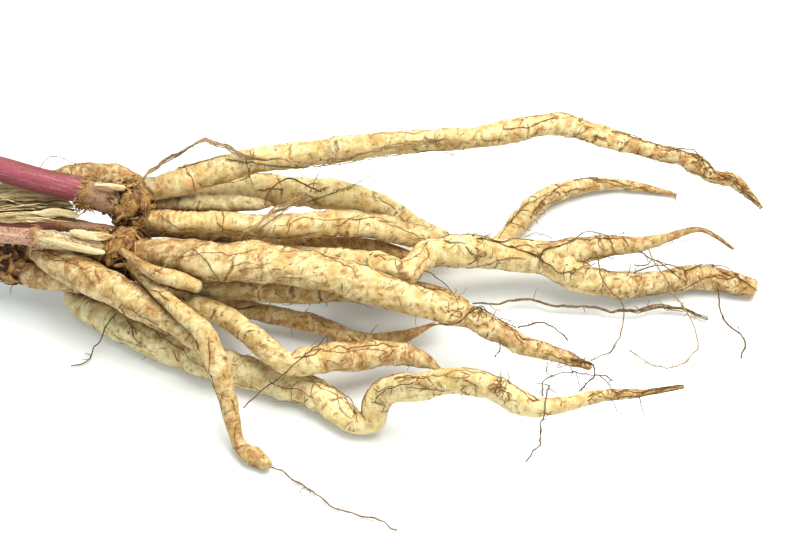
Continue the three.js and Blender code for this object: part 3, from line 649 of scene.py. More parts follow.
def wrinkle(limb, style):
    """Skin relief of a fleshy root, and how deep in a crease each point lies, from 0 to 1."""
    q, cracks = limb.straight, style["cracks"]
    dice = np.random.RandomState(int(limb.seed * 10) + 3)
    thick = np.clip(limb.radius / 4.5, 0.22, 1.15)[:, None]
    h = 0.78 * thick * fbm(q / np.array([10.0, 8.5, 8.5]), 2) + 0.24 * thick * noise(q / 3.6 + 9)
    crease = np.zeros_like(h)
    add_waists(h, crease, limb, thick, style["spacing"], dice)
    add_rings(h, limb, thick, style["rings"])
    if style["bands"]:
        add_bands(h, crease, limb, thick, *style["bands"])
    twisted = add_folds(h, limb, thick, style["folds"], style["twist"])

    # long creases that wander anywhere
    path = np.abs(noise(q / np.array([4.2, 3.2, 3.2]) + 203))
    seam = np.exp(-(path / 0.05) ** 2) * smooth(0.0, 0.5, noise(q / 9 + 61) + 0.5 * (cracks - 0.4))
    h -= 0.34 * thick * cracks * seam
    crease = np.maximum(crease, 0.5 * cracks * seam)

    add_pits(h, crease, limb, int(limb.length * style["pits"]), dice)
    h += 0.07 * thick * noise(q / 0.95 + 7)
    gnarl = style["gnarl"] * smooth(0.62, 0.78, limb.share)
    h = h * (1 + gnarl)
    h += 0.5 * gnarl * thick * (np.abs(noise(twisted * np.array([2.2, 0.8, 0.8]) + 17)) - 0.3)
    limb.radial = np.maximum(limb.radial + h, 0.3 * limb.radial)
    around = max(1, int(round(1.3 / (2 * math.pi * limb.radius.max() / limb.sides))))
    # cavity: how deep in a hollow (above 0) or high on a ridge (below 0) each point lies, which the skin
    # turns into painted shade and painted highlight
    limb.cavity = np.clip((blurred(h, 3, around) - h) / 0.20, -1, 1) * np.clip(thick * 1.6, 0.4, 1)
    return np.clip(crease * (1 + 0.6 * gnarl), 0, 1)


# ---------------------------------------------------------------- materials
def new_material(name):
    """A material with nothing but a shader: itself, its node tree and the shader."""
    m = bpy.data.materials.new(name)
    m.use_nodes = True
    t = m.node_tree
    t.nodes.clear()
    out = t.nodes.new("ShaderNodeOutputMaterial")
    bsdf = t.nodes.new("ShaderNodeBsdfPrincipled")
    t.links.new(bsdf.outputs[0], out.inputs[0])
    return m, t, bsdf


def put(t, socket, value):
    """Links a socket to another, or sets its value."""
    if isinstance(value, bpy.types.NodeSocket):
        t.links.new(value, socket)
    else:
        socket.default_value = value


def make(t, kind, ins=None, out=0, **props):
    """A new node with its inputs and properties set. Gives one of its outputs."""
    n = t.nodes.new("ShaderNode" + kind)
    for k, v in props.items():
        setattr(n, k, v)
    for k, v in (ins or {}).items():
        put(t, n.inputs[k], v)
    return n.outputs[out]


def attr(t, name, out="Fac"):
    return make(t, "Attribute", out=out, attribute_name=name)


def math_node(t, op, a, b=0.5, clamp=False):
    return make(t, "Math", {0: a, 1: b}, operation=op, use_clamp=clamp)


def times(t, a, b, clamp=False):
    return math_node(t, "MULTIPLY", a, b, clamp)


def scaled(t, vec, xyz, offset=(0, 0, 0)):
    return make(t, "Mapping", {"Vector": vec, "Scale": xyz, "Location": offset})


def noise_tex(t, vec, scale, detail, rough=0.55, distort=0.0):
    return make(t, "TexNoise", {"Vector": vec, "Scale": scale, "Detail": detail, "Roughness": rough,
                                "Distortion": distort})


def step_node(t, value, lo, hi, to_lo=0.0, to_hi=1.0):
    """A soft step, as smooth is, from to_lo at lo to to_hi at hi."""
    ins = {"Value": value, "From Min": lo, "From Max": hi, "To Min": to_lo, "To Max": to_hi}
    return make(t, "MapRange", ins, interpolation_type="SMOOTHSTEP")


def mix(t, fac, a, b):
    """Colour a where fac is 0 and b where it is 1."""
    n = t.nodes.new("ShaderNodeMix")
    n.data_type = "RGBA"
    put(t, n.inputs[0], fac)
    for i, v in ((6, a), (7, b)):
        put(t, n.inputs[i], v if isinstance(v, bpy.types.NodeSocket) else (*v, 1.0))
    return n.outputs[2]


def surface(t, bsdf, colour, rough, specular, height, strength, bump_mm):
    """Sets a shader's colour, gloss and bump."""
    put(t, bsdf.inputs["Base Color"], colour)
    bsdf.inputs["Roughness"].default_value = rough
    bsdf.inputs["Specular IOR Level"].default_value = specular
    bump = make(t, "Bump", {"Height": height, "Strength": strength, "Distance": bump_mm * MM})
    put(t, bsdf.inputs["Normal"], bump)


# Colours of the skin
RIDGE_HIGHLIGHT, IVORY = (0.89, 0.78, 0.49), (0.87, 0.75, 0.44)
CREAM, STRAW = (0.84, 0.700, 0.345), (0.705, 0.500, 0.175)
GREEN, PINK, OCHRE = (0.55, 0.52, 0.29), (0.88, 0.36, 0.13), (0.60, 0.325, 0.085)
STREAK_BROWN, FOLD_BROWN = (0.52, 0.26, 0.070), (0.52, 0.27, 0.080)
BLOT_PALE, BLOT_DARK = (0.56, 0.31, 0.10), (0.26, 0.115, 0.030)
TONE_PALE, TONE_DARK = (0.52, 0.265, 0.075), (0.21, 0.085, 0.020)
VALLEY_SHADE, SPECK_BROWN, CREASE_BROWN = (0.36, 0.175, 0.048), (0.30, 0.145, 0.045), (0.165, 0.070, 0.020)
# Colours of painted shade, with some soil, where another root or the crown lies close
SHADE_SOIL_PALE, SHADE_SOIL_DARK = (0.26, 0.13, 0.045), (0.055, 0.024, 0.009)


def skin_material():
    """Cream skin mottled with ochre, brown where tone and creases make it so, with painted shade in hollows,
    near neighbours and on the side away from EYE, and a painted highlight on ridges.
    """
    m, t, bsdf = new_material("root_skin")
    q = attr(t, "route", "Vector")
    tone, groove, cavity, blush, green, contact = (
        attr(t, n) for n in ("tone", "groove", "cavity", "blush", "green", "contact"))
    broad = noise_tex(t, q, 0.11, 3)
    mid = noise_tex(t, q, 0.40, 5, 0.62, 0.5)
    fine = noise_tex(t, q, 1.7, 5, 0.65, 0.3)
    streak = noise_tex(t, scaled(t, q, (1.9, 0.30, 0.30)), 1.0, 4, 0.6, 0.6)
    lengthwise = noise_tex(t, scaled(t, q, (0.10, 0.95, 0.95), (4, 9, 2)), 1.0, 4, 0.6, 0.5)
    col = mix(t, step_node(t, broad, 0.35, 0.65), STRAW, CREAM)
    col = mix(t, times(t, green, step_node(t, broad, 0.66, 0.40, 0.3, 1.0)), col, GREEN)
    col = mix(t, times(t, step_node(t, mid, 0.50, 0.34), 0.65), col, IVORY)
    col = mix(t, times(t, step_node(t, mid, 0.50, 0.70), 0.55), col, OCHRE)
    col = mix(t, step_node(t, streak, 0.58, 0.76, 0, 0.35), col, STREAK_BROWN)
    col = mix(t, step_node(t, lengthwise, 0.58, 0.72, 0, 0.40), col, FOLD_BROWN)

    # wandering thin cracks: where smooth noise passes its middle value
    crosswise = noise_tex(t, scaled(t, q, (0.55, 0.17, 0.17), (3, 8, 5)), 1.0, 2, 0.5, 0.8)
    level = math_node(t, "ABSOLUTE", math_node(t, "SUBTRACT", crosswise, 0.5))
    where = step_node(t, noise_tex(t, scaled(t, q, (1, 1, 1), (21, 2, 6)), 0.22, 3), 0.50, 0.60)
    crack = times(t, step_node(t, level, 0.016, 0.003), where)
    crack = times(t, crack, step_node(t, fine, 0.36, 0.52))

    col = mix(t, step_node(t, fine, 0.63, 0.67, 0, 0.85), col, SPECK_BROWN)
    blot = noise_tex(t, scaled(t, q, (0.34, 0.27, 0.27), (13, 7, 1)), 1.0, 7, 0.72, 0.4)
    blotted = times(t, step_node(t, blot, 0.575, 0.640), step_node(t, tone, 0.02, 0.5, 0.06, 0.95))
    col = mix(t, blotted, col, mix(t, fine, BLOT_DARK, BLOT_PALE))
    # tone holds brown staining and, on the side away from EYE, painted shade
    dirt = times(t, tone, step_node(t, mid, 0.30, 0.70, 0.45, 1.30))
    dirt = times(t, dirt, step_node(t, fine, 0.30, 0.60, 0.55, 1.1), clamp=True)
    col = mix(t, dirt, col, mix(t, fine, TONE_DARK, TONE_PALE))
    # painted shade in the hollows of the relief, and a painted highlight on its ridges
    col = mix(t, step_node(t, cavity, 0.10, 0.95, 0, 0.50), col, VALLEY_SHADE)
    col = mix(t, step_node(t, cavity, -0.15, -0.8, 0, 0.30), col, RIDGE_HIGHLIGHT)
    depth = times(t, step_node(t, groove, 0.15, 0.85), step_node(t, fine, 0.30, 0.6, 0.45, 0.95), clamp=True)
    col = mix(t, math_node(t, "MAXIMUM", depth, times(t, crack, 0.8)), col, CREASE_BROWN)
    # painted shade, with some soil, where another root or the crown lies close
    near = times(t, contact, step_node(t, mid, 0.25, 0.65, 0.55, 1.15), clamp=True)
    col = mix(t, near, col, mix(t, fine, SHADE_SOIL_DARK, SHADE_SOIL_PALE))
    col = mix(t, times(t, blush, step_node(t, mid, 0.35, 0.65, 0.15, 0.8)), col, PINK)

    height = times(t, mid, 0.8)
    for source, share in ((streak, -0.7), (lengthwise, -0.6), (fine, -0.5), (crack, -0.5)):
        height = math_node(t, "ADD", height, times(t, source, share))
    surface(t, bsdf, col, 0.52, 0.35, height, 0.5, 0.6)
    return m


def plain_material(name, a, b, scale, rough=0.7, stretch=(1, 1, 1), c=None, bump_mm=0.2, specks=0.0):
    """Two or three colours in fine noise along the piece's own route."""
    m, t, bsdf = new_material(name)
    q = scaled(t, attr(t, "route", "Vector"), stretch)
    grain = noise_tex(t, q, scale, 5, 0.6)
    col = mix(t, step_node(t, grain, 0.35, 0.65), a, b)
    if c is not None:
        patch = noise_tex(t, scaled(t, q, (1, 1, 1), (11, 5, 2)), scale * 0.6, 4)
        col = mix(t, step_node(t, patch, 0.52, 0.66), col, c)
    if specks:
        fine = noise_tex(t, attr(t, "route", "Vector"), 1.5, 5, 0.7)
        col = mix(t, step_node(t, fine, 0.565, 0.625, 0, specks), col, (0.20, 0.095, 0.035))
    surface(t, bsdf, col, rough, 0.15, grain, 0.6, bump_mm)
    return m


def stem_material(name, body, stripe, base, base_end, dirt):
    """Lengthwise stripes, a mottled base up to base_end (0..1 along), and brown soil that lies on top."""
    m, t, bsdf = new_material(name)
    q = attr(t, "route", "Vector")
    along, up, node = attr(t, "along"), attr(t, "up"), attr(t, "node")
    lines = noise_tex(t, scaled(t, q, (0.02, 1, 1)), 1.9, 3, 0.6)
    broad = noise_tex(t, scaled(t, q, (0.05, 1, 1), (5, 3, 9)), 0.5, 3, 0.6)
    blotch = noise_tex(t, scaled(t, q, (0.45, 1, 1)), 0.75, 6, 0.72, 0.6)
    fine = noise_tex(t, q, 1.8, 4, 0.65)
    col = mix(t, step_node(t, lines, 0.50, 0.68), body, stripe)
    col = mix(t, step_node(t, broad, 0.60, 0.40, 0, 0.45), col, tuple(0.7 * v for v in body))
    low = mix(t, step_node(t, blotch, 0.35, 0.62), base, (0.50, 0.335, 0.17))
    col = mix(t, step_node(t, along, base_end + 0.02, base_end - 0.02), col, low)
    soil = times(t, step_node(t, up, 0.45, 0.97, 0.22, 1.0), step_node(t, blotch, 0.40, 0.66))
    col = mix(t, times(t, soil, dirt, clamp=True), col, (0.20, 0.080, 0.032))
    speckle = times(t, step_node(t, fine, 0.48, 0.55), step_node(t, blotch, 0.43, 0.53))
    col = mix(t, times(t, speckle, 0.8), col, (0.15, 0.065, 0.03))
    bark = mix(t, step_node(t, fine, 0.35, 0.6), (0.16, 0.075, 0.025), (0.46, 0.27, 0.10))
    col = mix(t, node, col, bark)
    pith = mix(t, blotch, (0.36, 0.25, 0.12), (0.72, 0.62, 0.38))
    col = mix(t, attr(t, "cut"), col, pith)
    surface(t, bsdf, col, 0.5, 0.35, math_node(t, "ADD", lines, fine), 0.5, 0.4)
    return m


def crown_material():
    """Golden flaky bark, with painted shade making it nearly black where it lies deep."""
    m, t, bsdf = new_material("crown_bark")
    q = attr(t, "route", "Vector")
    mid = noise_tex(t, q, 0.6, 5, 0.65)
    fine = noise_tex(t, q, 2.2, 4, 0.65)
    col = mix(t, step_node(t, mid, 0.32, 0.62), (0.20, 0.085, 0.025), (0.52, 0.30, 0.100))
    col = mix(t, step_node(t, fine, 0.53, 0.68, 0, 0.7), col, (0.10, 0.04, 0.014))
    # painted shade: nearly black where the bark's relief lies low
    col = mix(t, step_node(t, attr(t, "height"), 0.85, -0.35, 0, 0.97), col, (0.045, 0.018, 0.010))
    patch = noise_tex(t, q, 0.16, 3)
    col = mix(t, step_node(t, patch, 0.48, 0.64, 0, 0.70), col, (0.105, 0.042, 0.030))
    surface(t, bsdf, col, 0.8, 0.25, math_node(t, "ADD", mid, fine), 0.7, 0.6)
    return m


SKIN = skin_material()
FIBRE_DARK = plain_material("rootlet_dark", (0.070, 0.036, 0.012), (0.19, 0.100, 0.030), 1.2)
FIBRE_BROWN = plain_material("rootlet_brown", (0.10, 0.057, 0.022), (0.31, 0.195, 0.080), 0.8)
FIBRE_TAN = plain_material("rootlet_tan", (0.20, 0.115, 0.050), (0.45, 0.31, 0.150), 0.9)
CRACK = plain_material("skin_crack", (0.135, 0.056, 0.017), (0.34, 0.170, 0.055), 0.8)
CROWN = crown_material()
CHAFF = plain_material("crown_chaff", (0.23, 0.100, 0.028), (0.56, 0.335, 0.115), 0.55, 0.75, (0.4, 1, 1),
                       c=(0.12, 0.05, 0.016))
SOIL = plain_material("soil", (0.018, 0.009, 0.005), (0.085, 0.042, 0.020), 0.9, 0.95, bump_mm=0.5)
HUSK = plain_material("dry_husk", (0.62, 0.475, 0.220), (0.82, 0.71, 0.42), 0.8, 0.6, (0.10, 0.8, 0.8),
                      c=(0.36, 0.20, 0.07), bump_mm=0.35, specks=0.6)
HUSK_DARK = plain_material("husk_inside", (0.055, 0.030, 0.014), (0.20, 0.125, 0.055), 0.9, 0.8,
                           (0.10, 1.2, 1.2))
TONGUE = plain_material("sheath_cream", (0.66, 0.505, 0.255), (0.82, 0.71, 0.45), 0.8, 0.55, (0.15, 1, 1),
                        c=(0.42, 0.235, 0.085), specks=0.8)
STEM_RED = stem_material("stem_red", (0.37, 0.060, 0.105), (0.52, 0.20, 0.20), (0.42, 0.185, 0.125),
                         base_end=0.235, dirt=1.5)
STEM_BROWN = stem_material("stem_brown", (0.34, 0.115, 0.08), (0.46, 0.205, 0.14), (0.42, 0.17, 0.11),
                           base_end=0.37, dirt=0.9)
STEM_PALE = stem_material("stem_pale", (0.60, 0.330, 0.235), (0.70, 0.52, 0.34), (0.68, 0.54, 0.29),
                          base_end=0.44, dirt=0.7)

# ---------------------------------------------------------------- fleshy roots
SWEEPS = {}
# Size of a skin's faces along and round a root
SKIN_STEP, SKIN_GIRTH = 0.60, 0.80
SKIN_KEYS = ("tone", "groove", "blush", "green", "cavity", "contact")


def seen(p):
    """Where points appear from EYE: mm to the right of the bunch's middle, and mm above it."""
    d = p - EYE
    d = d * (DISTANCE / -(d @ FRONT))[..., None]
    return d @ ACROSS_VIEW, d @ UP_VIEW


def stain(name, limb):
    """Adds the root's STAINS to its attributes, on the side that faces EYE."""
    x, w = seen(limb.grid)
    facing = smooth(-0.1, 0.3, limb.out @ FRONT) * (0.75 + 0.6 * noise(limb.straight / 2.2 + 37))
    for root, kind, (cx, cw), (rx, rw), strength in STAINS:
        if root == name:
            spot = strength * np.exp(-((x - cx) / rx) ** 2 - ((w - cw) / rw) ** 2) * facing
            setattr(limb, kind, np.clip(getattr(limb, kind) + spot, 0, 1))


def dress_root(name, stations, seed, style, end=TAIL_CAP):
    """A fleshy root's surface, with the values that colour it, kept in SWEEPS."""
    widest = max(station[3] for station in stations)
    sides = int(np.clip(2 * math.pi * widest / SKIN_GIRTH, 24, 64))
    limb = Sweep(stations, SKIN_STEP, sides, seed, SKIN_LUMP, end)
    crease = wrinkle(limb, style)
    limb.finish()
    limb.groove = np.maximum(crease, 0.8 * limb.pinch)
    # brown toward the crown and the tip, and in patches; painted shade darkens the side away from EYE and the
    # outlines seen from it
    tip = smooth(2.2, 0.9, limb.radius)[:, None] * 0.5
    base = smooth(0, 1, 1 - (limb.distance[:, None] - 6 * noise(limb.straight / 5 + 11)) / 26) * 0.75
    amount, first, full = TIP_BROWN.get(name, (0, 0.5, 0.95))
    tip = tip + amount * smooth(first, full, limb.share + 0.10 * noise(limb.straight / 7 + 19))
    patch = 0.5 + 0.5 * noise(limb.straight / np.array([13.0, 8, 8]) + 3)
    # painted shade: darker on the side that faces away from EYE
    away_shade = smooth(-0.4, 0.6, -(limb.out @ FRONT) + 0.15 * noise(limb.straight / 2.5 + 5)) * 0.42
    limb.tone = np.clip(style["tone"] * (0.35 + 1.2 * patch) + tip + base + away_shade, 0, 1)
    limb.blush = np.zeros_like(crease)
    limb.green = np.full_like(crease, style["green"])
    if name == "root_kinked":
        limb.green *= smooth(0.50, 0.38, limb.share)
    stain(name, limb)
    SWEEPS[name] = limb
    return limb


def gap_to(points, centres, radii, batch=3000):
    """How far each point lies from the nearest of some balls."""
    gaps = []
    for i in range(0, len(points), batch):
        far = np.linalg.norm(points[i:i + batch, None] - centres[None], axis=2) - radii[None]
        gaps.append(far.min(1))
    return np.concatenate(gaps)


def core(limb):
    """Every fourth of a limb's centres and radii, as balls."""
    return limb.centre[::4], (limb.radius * limb.scale)[::4]


def blend_skins(a, b, reach=6.0):
    """Raises both skins where they meet, so the fork is one flesh."""
    raised = []
    for one, other in ((a, b), (b, a)):
        gap = gap_to(one.grid.reshape(-1, 3), *core(other))
        h = np.clip(1 - np.abs(gap) / reach, 0, 1)
        raised.append((h * h * reach / 4).reshape(one.grid.shape[:2]))
    for one, up in zip((a, b), raised):
        one.grid = one.grid + one.out * up[..., None]
        one.groove = np.maximum(one.groove, 0.45 * smooth(0.9, 1.45, up))


def spread(values, rows, cols, rings, sides):
    """Values known at some rows and columns of a tube's grid, filled in over all of it."""
    lines = [np.interp(np.arange(rings), rows, values[:, j]) for j in range(len(cols))]
    wrapped = np.column_stack(lines + lines[:1])
    return np.stack([np.interp(np.arange(sides), np.r_[cols, sides], row) for row in wrapped])


def add_contact():
    """How near each point of a skin lies to another root or the crown, for painted shade with some soil
    there: 0 to 1.
    """
    near = [(name, *core(limb)) for name, limb in SWEEPS.items()]
    for centre, radii in CROWN_HEADS:
        near.append(("crown", np.array([centre]), np.array([min(radii) * 0.97])))
    fork = ("root_forked", "root_prong")
    for name, limb in SWEEPS.items():
        family = fork if name in fork else (name,)
        others = [balls for key, *balls in near if key not in family]
        rows = np.unique(np.r_[0:limb.rings:3, limb.rings - 1])
        cols = np.arange(0, limb.sides, 3)
        others = [np.concatenate(part) for part in zip(*others)]
        gap = gap_to(limb.grid[rows][:, cols].reshape(-1, 3), *others)
        gap = spread(gap.reshape(len(rows), len(cols)), rows, cols, limb.rings, limb.sides)
        limb.contact = smooth(3.4, 0.2, gap + 1.1 * noise(limb.straight / 2.6 + 71)) * 0.9


for n, (name, stations) in enumerate(ROOTS.items()):
    dress_root(name, stations, n + 1, STYLE[name])
main = dress_root("root_forked", FORKED_MAIN, 21, STYLE["root_forked"], end=0.25)
prong = dress_root("root_prong", FORKED_PRONG, 22, STYLE["root_prong"])
blend_skins(main, prong)

# ---------------------------------------------------------------- fine cracks in the skins
# Length of a crack's stretches
STRIDE = 0.5


def crack_walk(limb, s, angle, heading, length, wander, dice):
    """A crack as distances along a root and angles round it. A heading of 0 runs along the root."""
    n = max(3, int(length / STRIDE))
    knots = dice.normal(size=n // 4 + 3)
    course = heading + wander * np.interp(np.arange(n) / 4, np.arange(len(knots)), knots)
    s = s + np.r_[0, np.cumsum(STRIDE * np.cos(course))]
    girth = np.maximum(np.interp(s, limb.distance, limb.radius), 0.6)
    angle = angle + np.r_[0, np.cumsum(STRIDE * np.sin(course) / girth[1:])]
    off = np.flatnonzero((s < 0.5) | (s > limb.length - 0.3))
    end = off[0] if len(off) else n + 1
    return s[:end], angle[:end]


def crack_routes(limb, style):
    """(distances, angles, half-width): seams along the root with side branches, short cracks across it, small
    tangles and flecks."""
    dice = np.random.RandomState(int(limb.seed * 10) + 17)
    density, spare = style["cracks"], np.clip(limb.radius.mean() / 4, 0.35, 1.3)
    across = math.pi / 2

    def spot():
        first = 0.66 * limb.length if dice.rand() < 0.3 * style["gnarl"] else 1
        return dice.uniform(first, limb.length), dice.uniform(0, 2 * math.pi)

    for _ in range(int(density * spare * limb.length / 9) + 1):
        half = dice.uniform(0.12, 0.23)
        s, a = crack_walk(limb, *spot(), dice.normal() * 0.12, dice.uniform(6, 38), 0.38, dice)
        yield s, a, half
        for k in range(5, len(s) - 1, dice.randint(11, 24)):
            turn = dice.choice([-1, 1]) * dice.uniform(0.5, 1.5)
            yield (*crack_walk(limb, s[k], a[k], turn, dice.uniform(0.8, 3.5), 0.5, dice), 0.7 * half)
    for _ in range(int(density * limb.length / 3.2)):
        length = dice.uniform(1.2, 1.5 + 6 * spare) * dice.uniform(0.4, 1)
        s, a = crack_walk(limb, *spot(), across + dice.normal() * 0.25, length, 0.45, dice)
        yield s, a, dice.uniform(0.09, 0.19)
    for _ in range(int(density * spare * limb.length / 26)):
        s0, a0 = spot()
        for _ in range(dice.randint(5, 10)):
            s, a = s0 + dice.normal() * 2.2, a0 + dice.normal() * 0.35
            heading = dice.normal() * 0.6 + dice.choice([0, 0, 1.3])
            s, a = crack_walk(limb, s, a, heading, dice.uniform(2, 7), 0.6, dice)
            yield s, a, dice.uniform(0.10, 0.20)
    for _ in range(int(1.5 * density * spare * limb.length)):
        heading = dice.normal() * 0.5 + dice.choice([0, across])
        s, a = crack_walk(limb, *spot(), heading, dice.uniform(0.9, 1.8), 0.3, dice)
        yield s, a, dice.uniform(0.12, 0.27)


def line_points(u, row, layer=0.0):
    """Points to take noise at along a line, in a row and layer of its own."""
    return np.column_stack([u, np.full(len(u), row), np.full(len(u), layer)])


def crack_lines(limb, style):
    """Thin dark lines half sunk in the skin, which they stain on both sides."""
    lines = []
    halo = np.zeros_like(limb.tone)
    for n, (s, a, half) in enumerate(crack_routes(limb, style)):
        if len(s) < 3:
            continue
        p, _ = limb.at(s, a, -0.15 * half)
        run = np.arange(len(s))
        taper = np.minimum(1, np.minimum(run + 0.4, len(s) - 0.6 - run) / min(3, len(s) / 2))
        torn = 1 + 0.5 * noise(line_points(run / 2.3, n * 1.7, limb.seed))
        # every second point is enough, and a tube of three sides looks thinner than its radius says
        keep = np.r_[0:len(s) - 1:2, len(s) - 1]
        lines.append((p[keep], (1.4 * half * np.maximum(taper * torn, 0.18))[keep]))
        k = np.searchsorted(limb.distance, s)
        j = np.round(a / (2 * math.pi) * limb.sides).astype(int)
        for dk in range(-2, 3):
            for dj in range(-2, 3):
                near = math.exp(-((SKIN_STEP * dk) ** 2 + (SKIN_GIRTH * dj) ** 2) / 0.5)
                np.maximum.at(halo, (np.clip(k + dk, 0, limb.rings - 1), (j + dj) % limb.sides), near)
    limb.tone = np.clip(limb.tone + 0.36 * halo, 0, 1)
    return lines


# The pink knee of the forked root, with a paler stretch round it
KNEE = np.array([9.0, -5.0, 31.0])
far = np.linalg.norm(main.grid - KNEE, axis=2)
main.blush = np.maximum(main.blush, np.exp(-(far / 5.0) ** 2) * 0.8)
main.tone = main.tone * (1 - 0.6 * np.exp(-(far / 15) ** 2))
add_contact()
CRACKS = {name: crack_lines(limb, STYLE[name]) for name, limb in SWEEPS.items()}
for name in ROOTS:
    build("skin_" + name, [SWEEPS[name]], SKIN, "root_skin", SKIN_KEYS, (name,))
build("skin_root_forked", [main, prong], SKIN, "root_skin", SKIN_KEYS, ("root_forked",))


# ---------------------------------------------------------------- thin tubes: rootlets and hairs
# How far the routes of a batch's lines lie from one to the next, so that their noise differs
LINE_GAP = 13.7


def add_tubes(name, lines, material, slot, replaces=(), sides=5):
    """One piece of round tubes, each along its points (n, 3) with its radii (n,)."""
    batch = Batch()
    a = np.arange(sides) * 2 * math.pi / sides
    c, sn = np.cos(a), np.sin(a)
    for i, (p, r) in enumerate(lines):
        tangents = unit(np.gradient(p, axis=0))
        # a way that hardly any line runs in
        normals = unit(np.cross(tangents, np.array([0.31, 0.17, 0.93])), 1e-6)
        binormals = np.cross(tangents, normals)
        out = c[None, :, None] * normals[:, None] + sn[None, :, None] * binormals[:, None]
        ring = (p[:, None] + r[:, None, None] * out).reshape(-1, 3)
        verts = np.vstack([ring, p[0] - tangents[0] * r[0] * 0.5, p[-1] + tangents[-1] * r[-1] * 0.5])
        q = grid_route(length_along(p), r[:, None] * c, r[:, None] * sn) + i * LINE_GAP
        batch.add(verts, len(p), sides, with_end_rows(q), flip=True)
    batch.mesh(name, material, slot, replaces=replaces)


def wiggle(points, seed, amount, size):
    """Small natural kinks in a thin line."""
    q = points / size + seed * 7.1
    coarse = np.stack([noise(q), noise(q + 40), noise(q + 80)], -1)
    fine = np.stack([noise(q * 2.7 + 5), noise(q * 2.7 + 45), noise(q * 2.7 + 85)], -1)
    return points + amount * (coarse + 0.5 * fine)


def fibre_line(stations, seed):
    """A rootlet's points and radii, thinner than its CAD node and kinked except near its ends."""
    s, centres, extras, _, _, _ = sweep_frames(stations, 0.8)
    fade = np.minimum(1, np.minimum(s, s[-1] - s) / 3)[:, None]
    p = centres + (wiggle(centres, seed, 0.8, 6.0) - centres) * fade
    r = extras[:, 0] * 0.62 * (1 + 0.25 * noise(line_points(s / 2.2, seed)))
    p[:, 2] = np.maximum(p[:, 2], r + 0.05)
    return p, r


def side_hairs(p, r, count, seed, length=(2, 7), radius=0.16, floor=0.2):
    """Short side rootlets from a line."""
    dice = np.random.RandomState(seed)
    out = []
    for _ in range(count):
        i = dice.randint(1, len(p) - 1)
        d = dice.normal(size=3)
        d[2] *= 0.6
        d /= np.linalg.norm(d)
        n = dice.randint(5, 9)
        step = dice.uniform(*length) / n
        line, h = [p[i]], p[i].copy()
        for _ in range(n):
            d = d + dice.normal(size=3) * 0.35
            d /= np.linalg.norm(d)
            h = h + d * step
            h[2] = max(h[2], floor)
            line.append(h.copy())
        out.append((np.array(line), np.linspace(min(radius, r[i]), 0.07, n + 1)))
    return out


def strands(p, r, count, seed):
    """Thinner strands that twist round a line."""
    out = []
    s = length_along(p)[:, None]
    for k in range(count):
        turn = s / 11 + 2 * math.pi * k / count + seed
        off = 0.75 * np.concatenate([0 * s, np.cos(turn), np.sin(turn)], axis=1) * np.minimum(1, s / 8)
        q = wiggle(p + off, seed + k + 5, 0.35, 5.0)
        out.append((q, r * 0.62))
    return out


CRACK_SHARES = 3
for share in range(CRACK_SHARES):
    lines = [line for name in ROOTS for line in CRACKS[name][share::CRACK_SHARES]]
    add_tubes("crack_lines_%d" % share, lines, CRACK, "root_skin", sides=3)
add_tubes("crack_lines_fork", CRACKS["root_forked"] + CRACKS["root_prong"], CRACK, "root_skin", sides=3)

FIBRE_MATERIALS = {"fibre_over_top": FIBRE_TAN, "fibre_thick": FIBRE_TAN, "fibre_hook_near": FIBRE_BROWN,
                   "fibre_hook_far": FIBRE_TAN, "fibre_droop_tip": FIBRE_BROWN, "fibre_ground": FIBRE_BROWN}
# Where a rootlet's drawn line begins inside the skin that it grows from
ROOTED = {"fibre_droop_tip": [-48.4, -79.2, 3.1, 0.5]}
for n, (name, stations) in enumerate(FIBRES.items()):
    p, r = fibre_line([ROOTED[name]] + stations if name in ROOTED else stations, n + 3)
    lines = [(p, r)] + side_hairs(p, r, int(len(p) / 9), 100 + n)
    if name in ("fibre_over_top", "fibre_thick"):
        lines += strands(p, r, 2, n)
    if name == "fibre_ground":
        lines += strands(p[-50:], r[-50:], 3, n) + side_hairs(p[-40:], r[-40:], 12, 140, (1, 4))
    add_tubes("thin_" + name, lines, FIBRE_MATERIALS.get(name, FIBRE_DARK), "rootlet", (name,), 6)

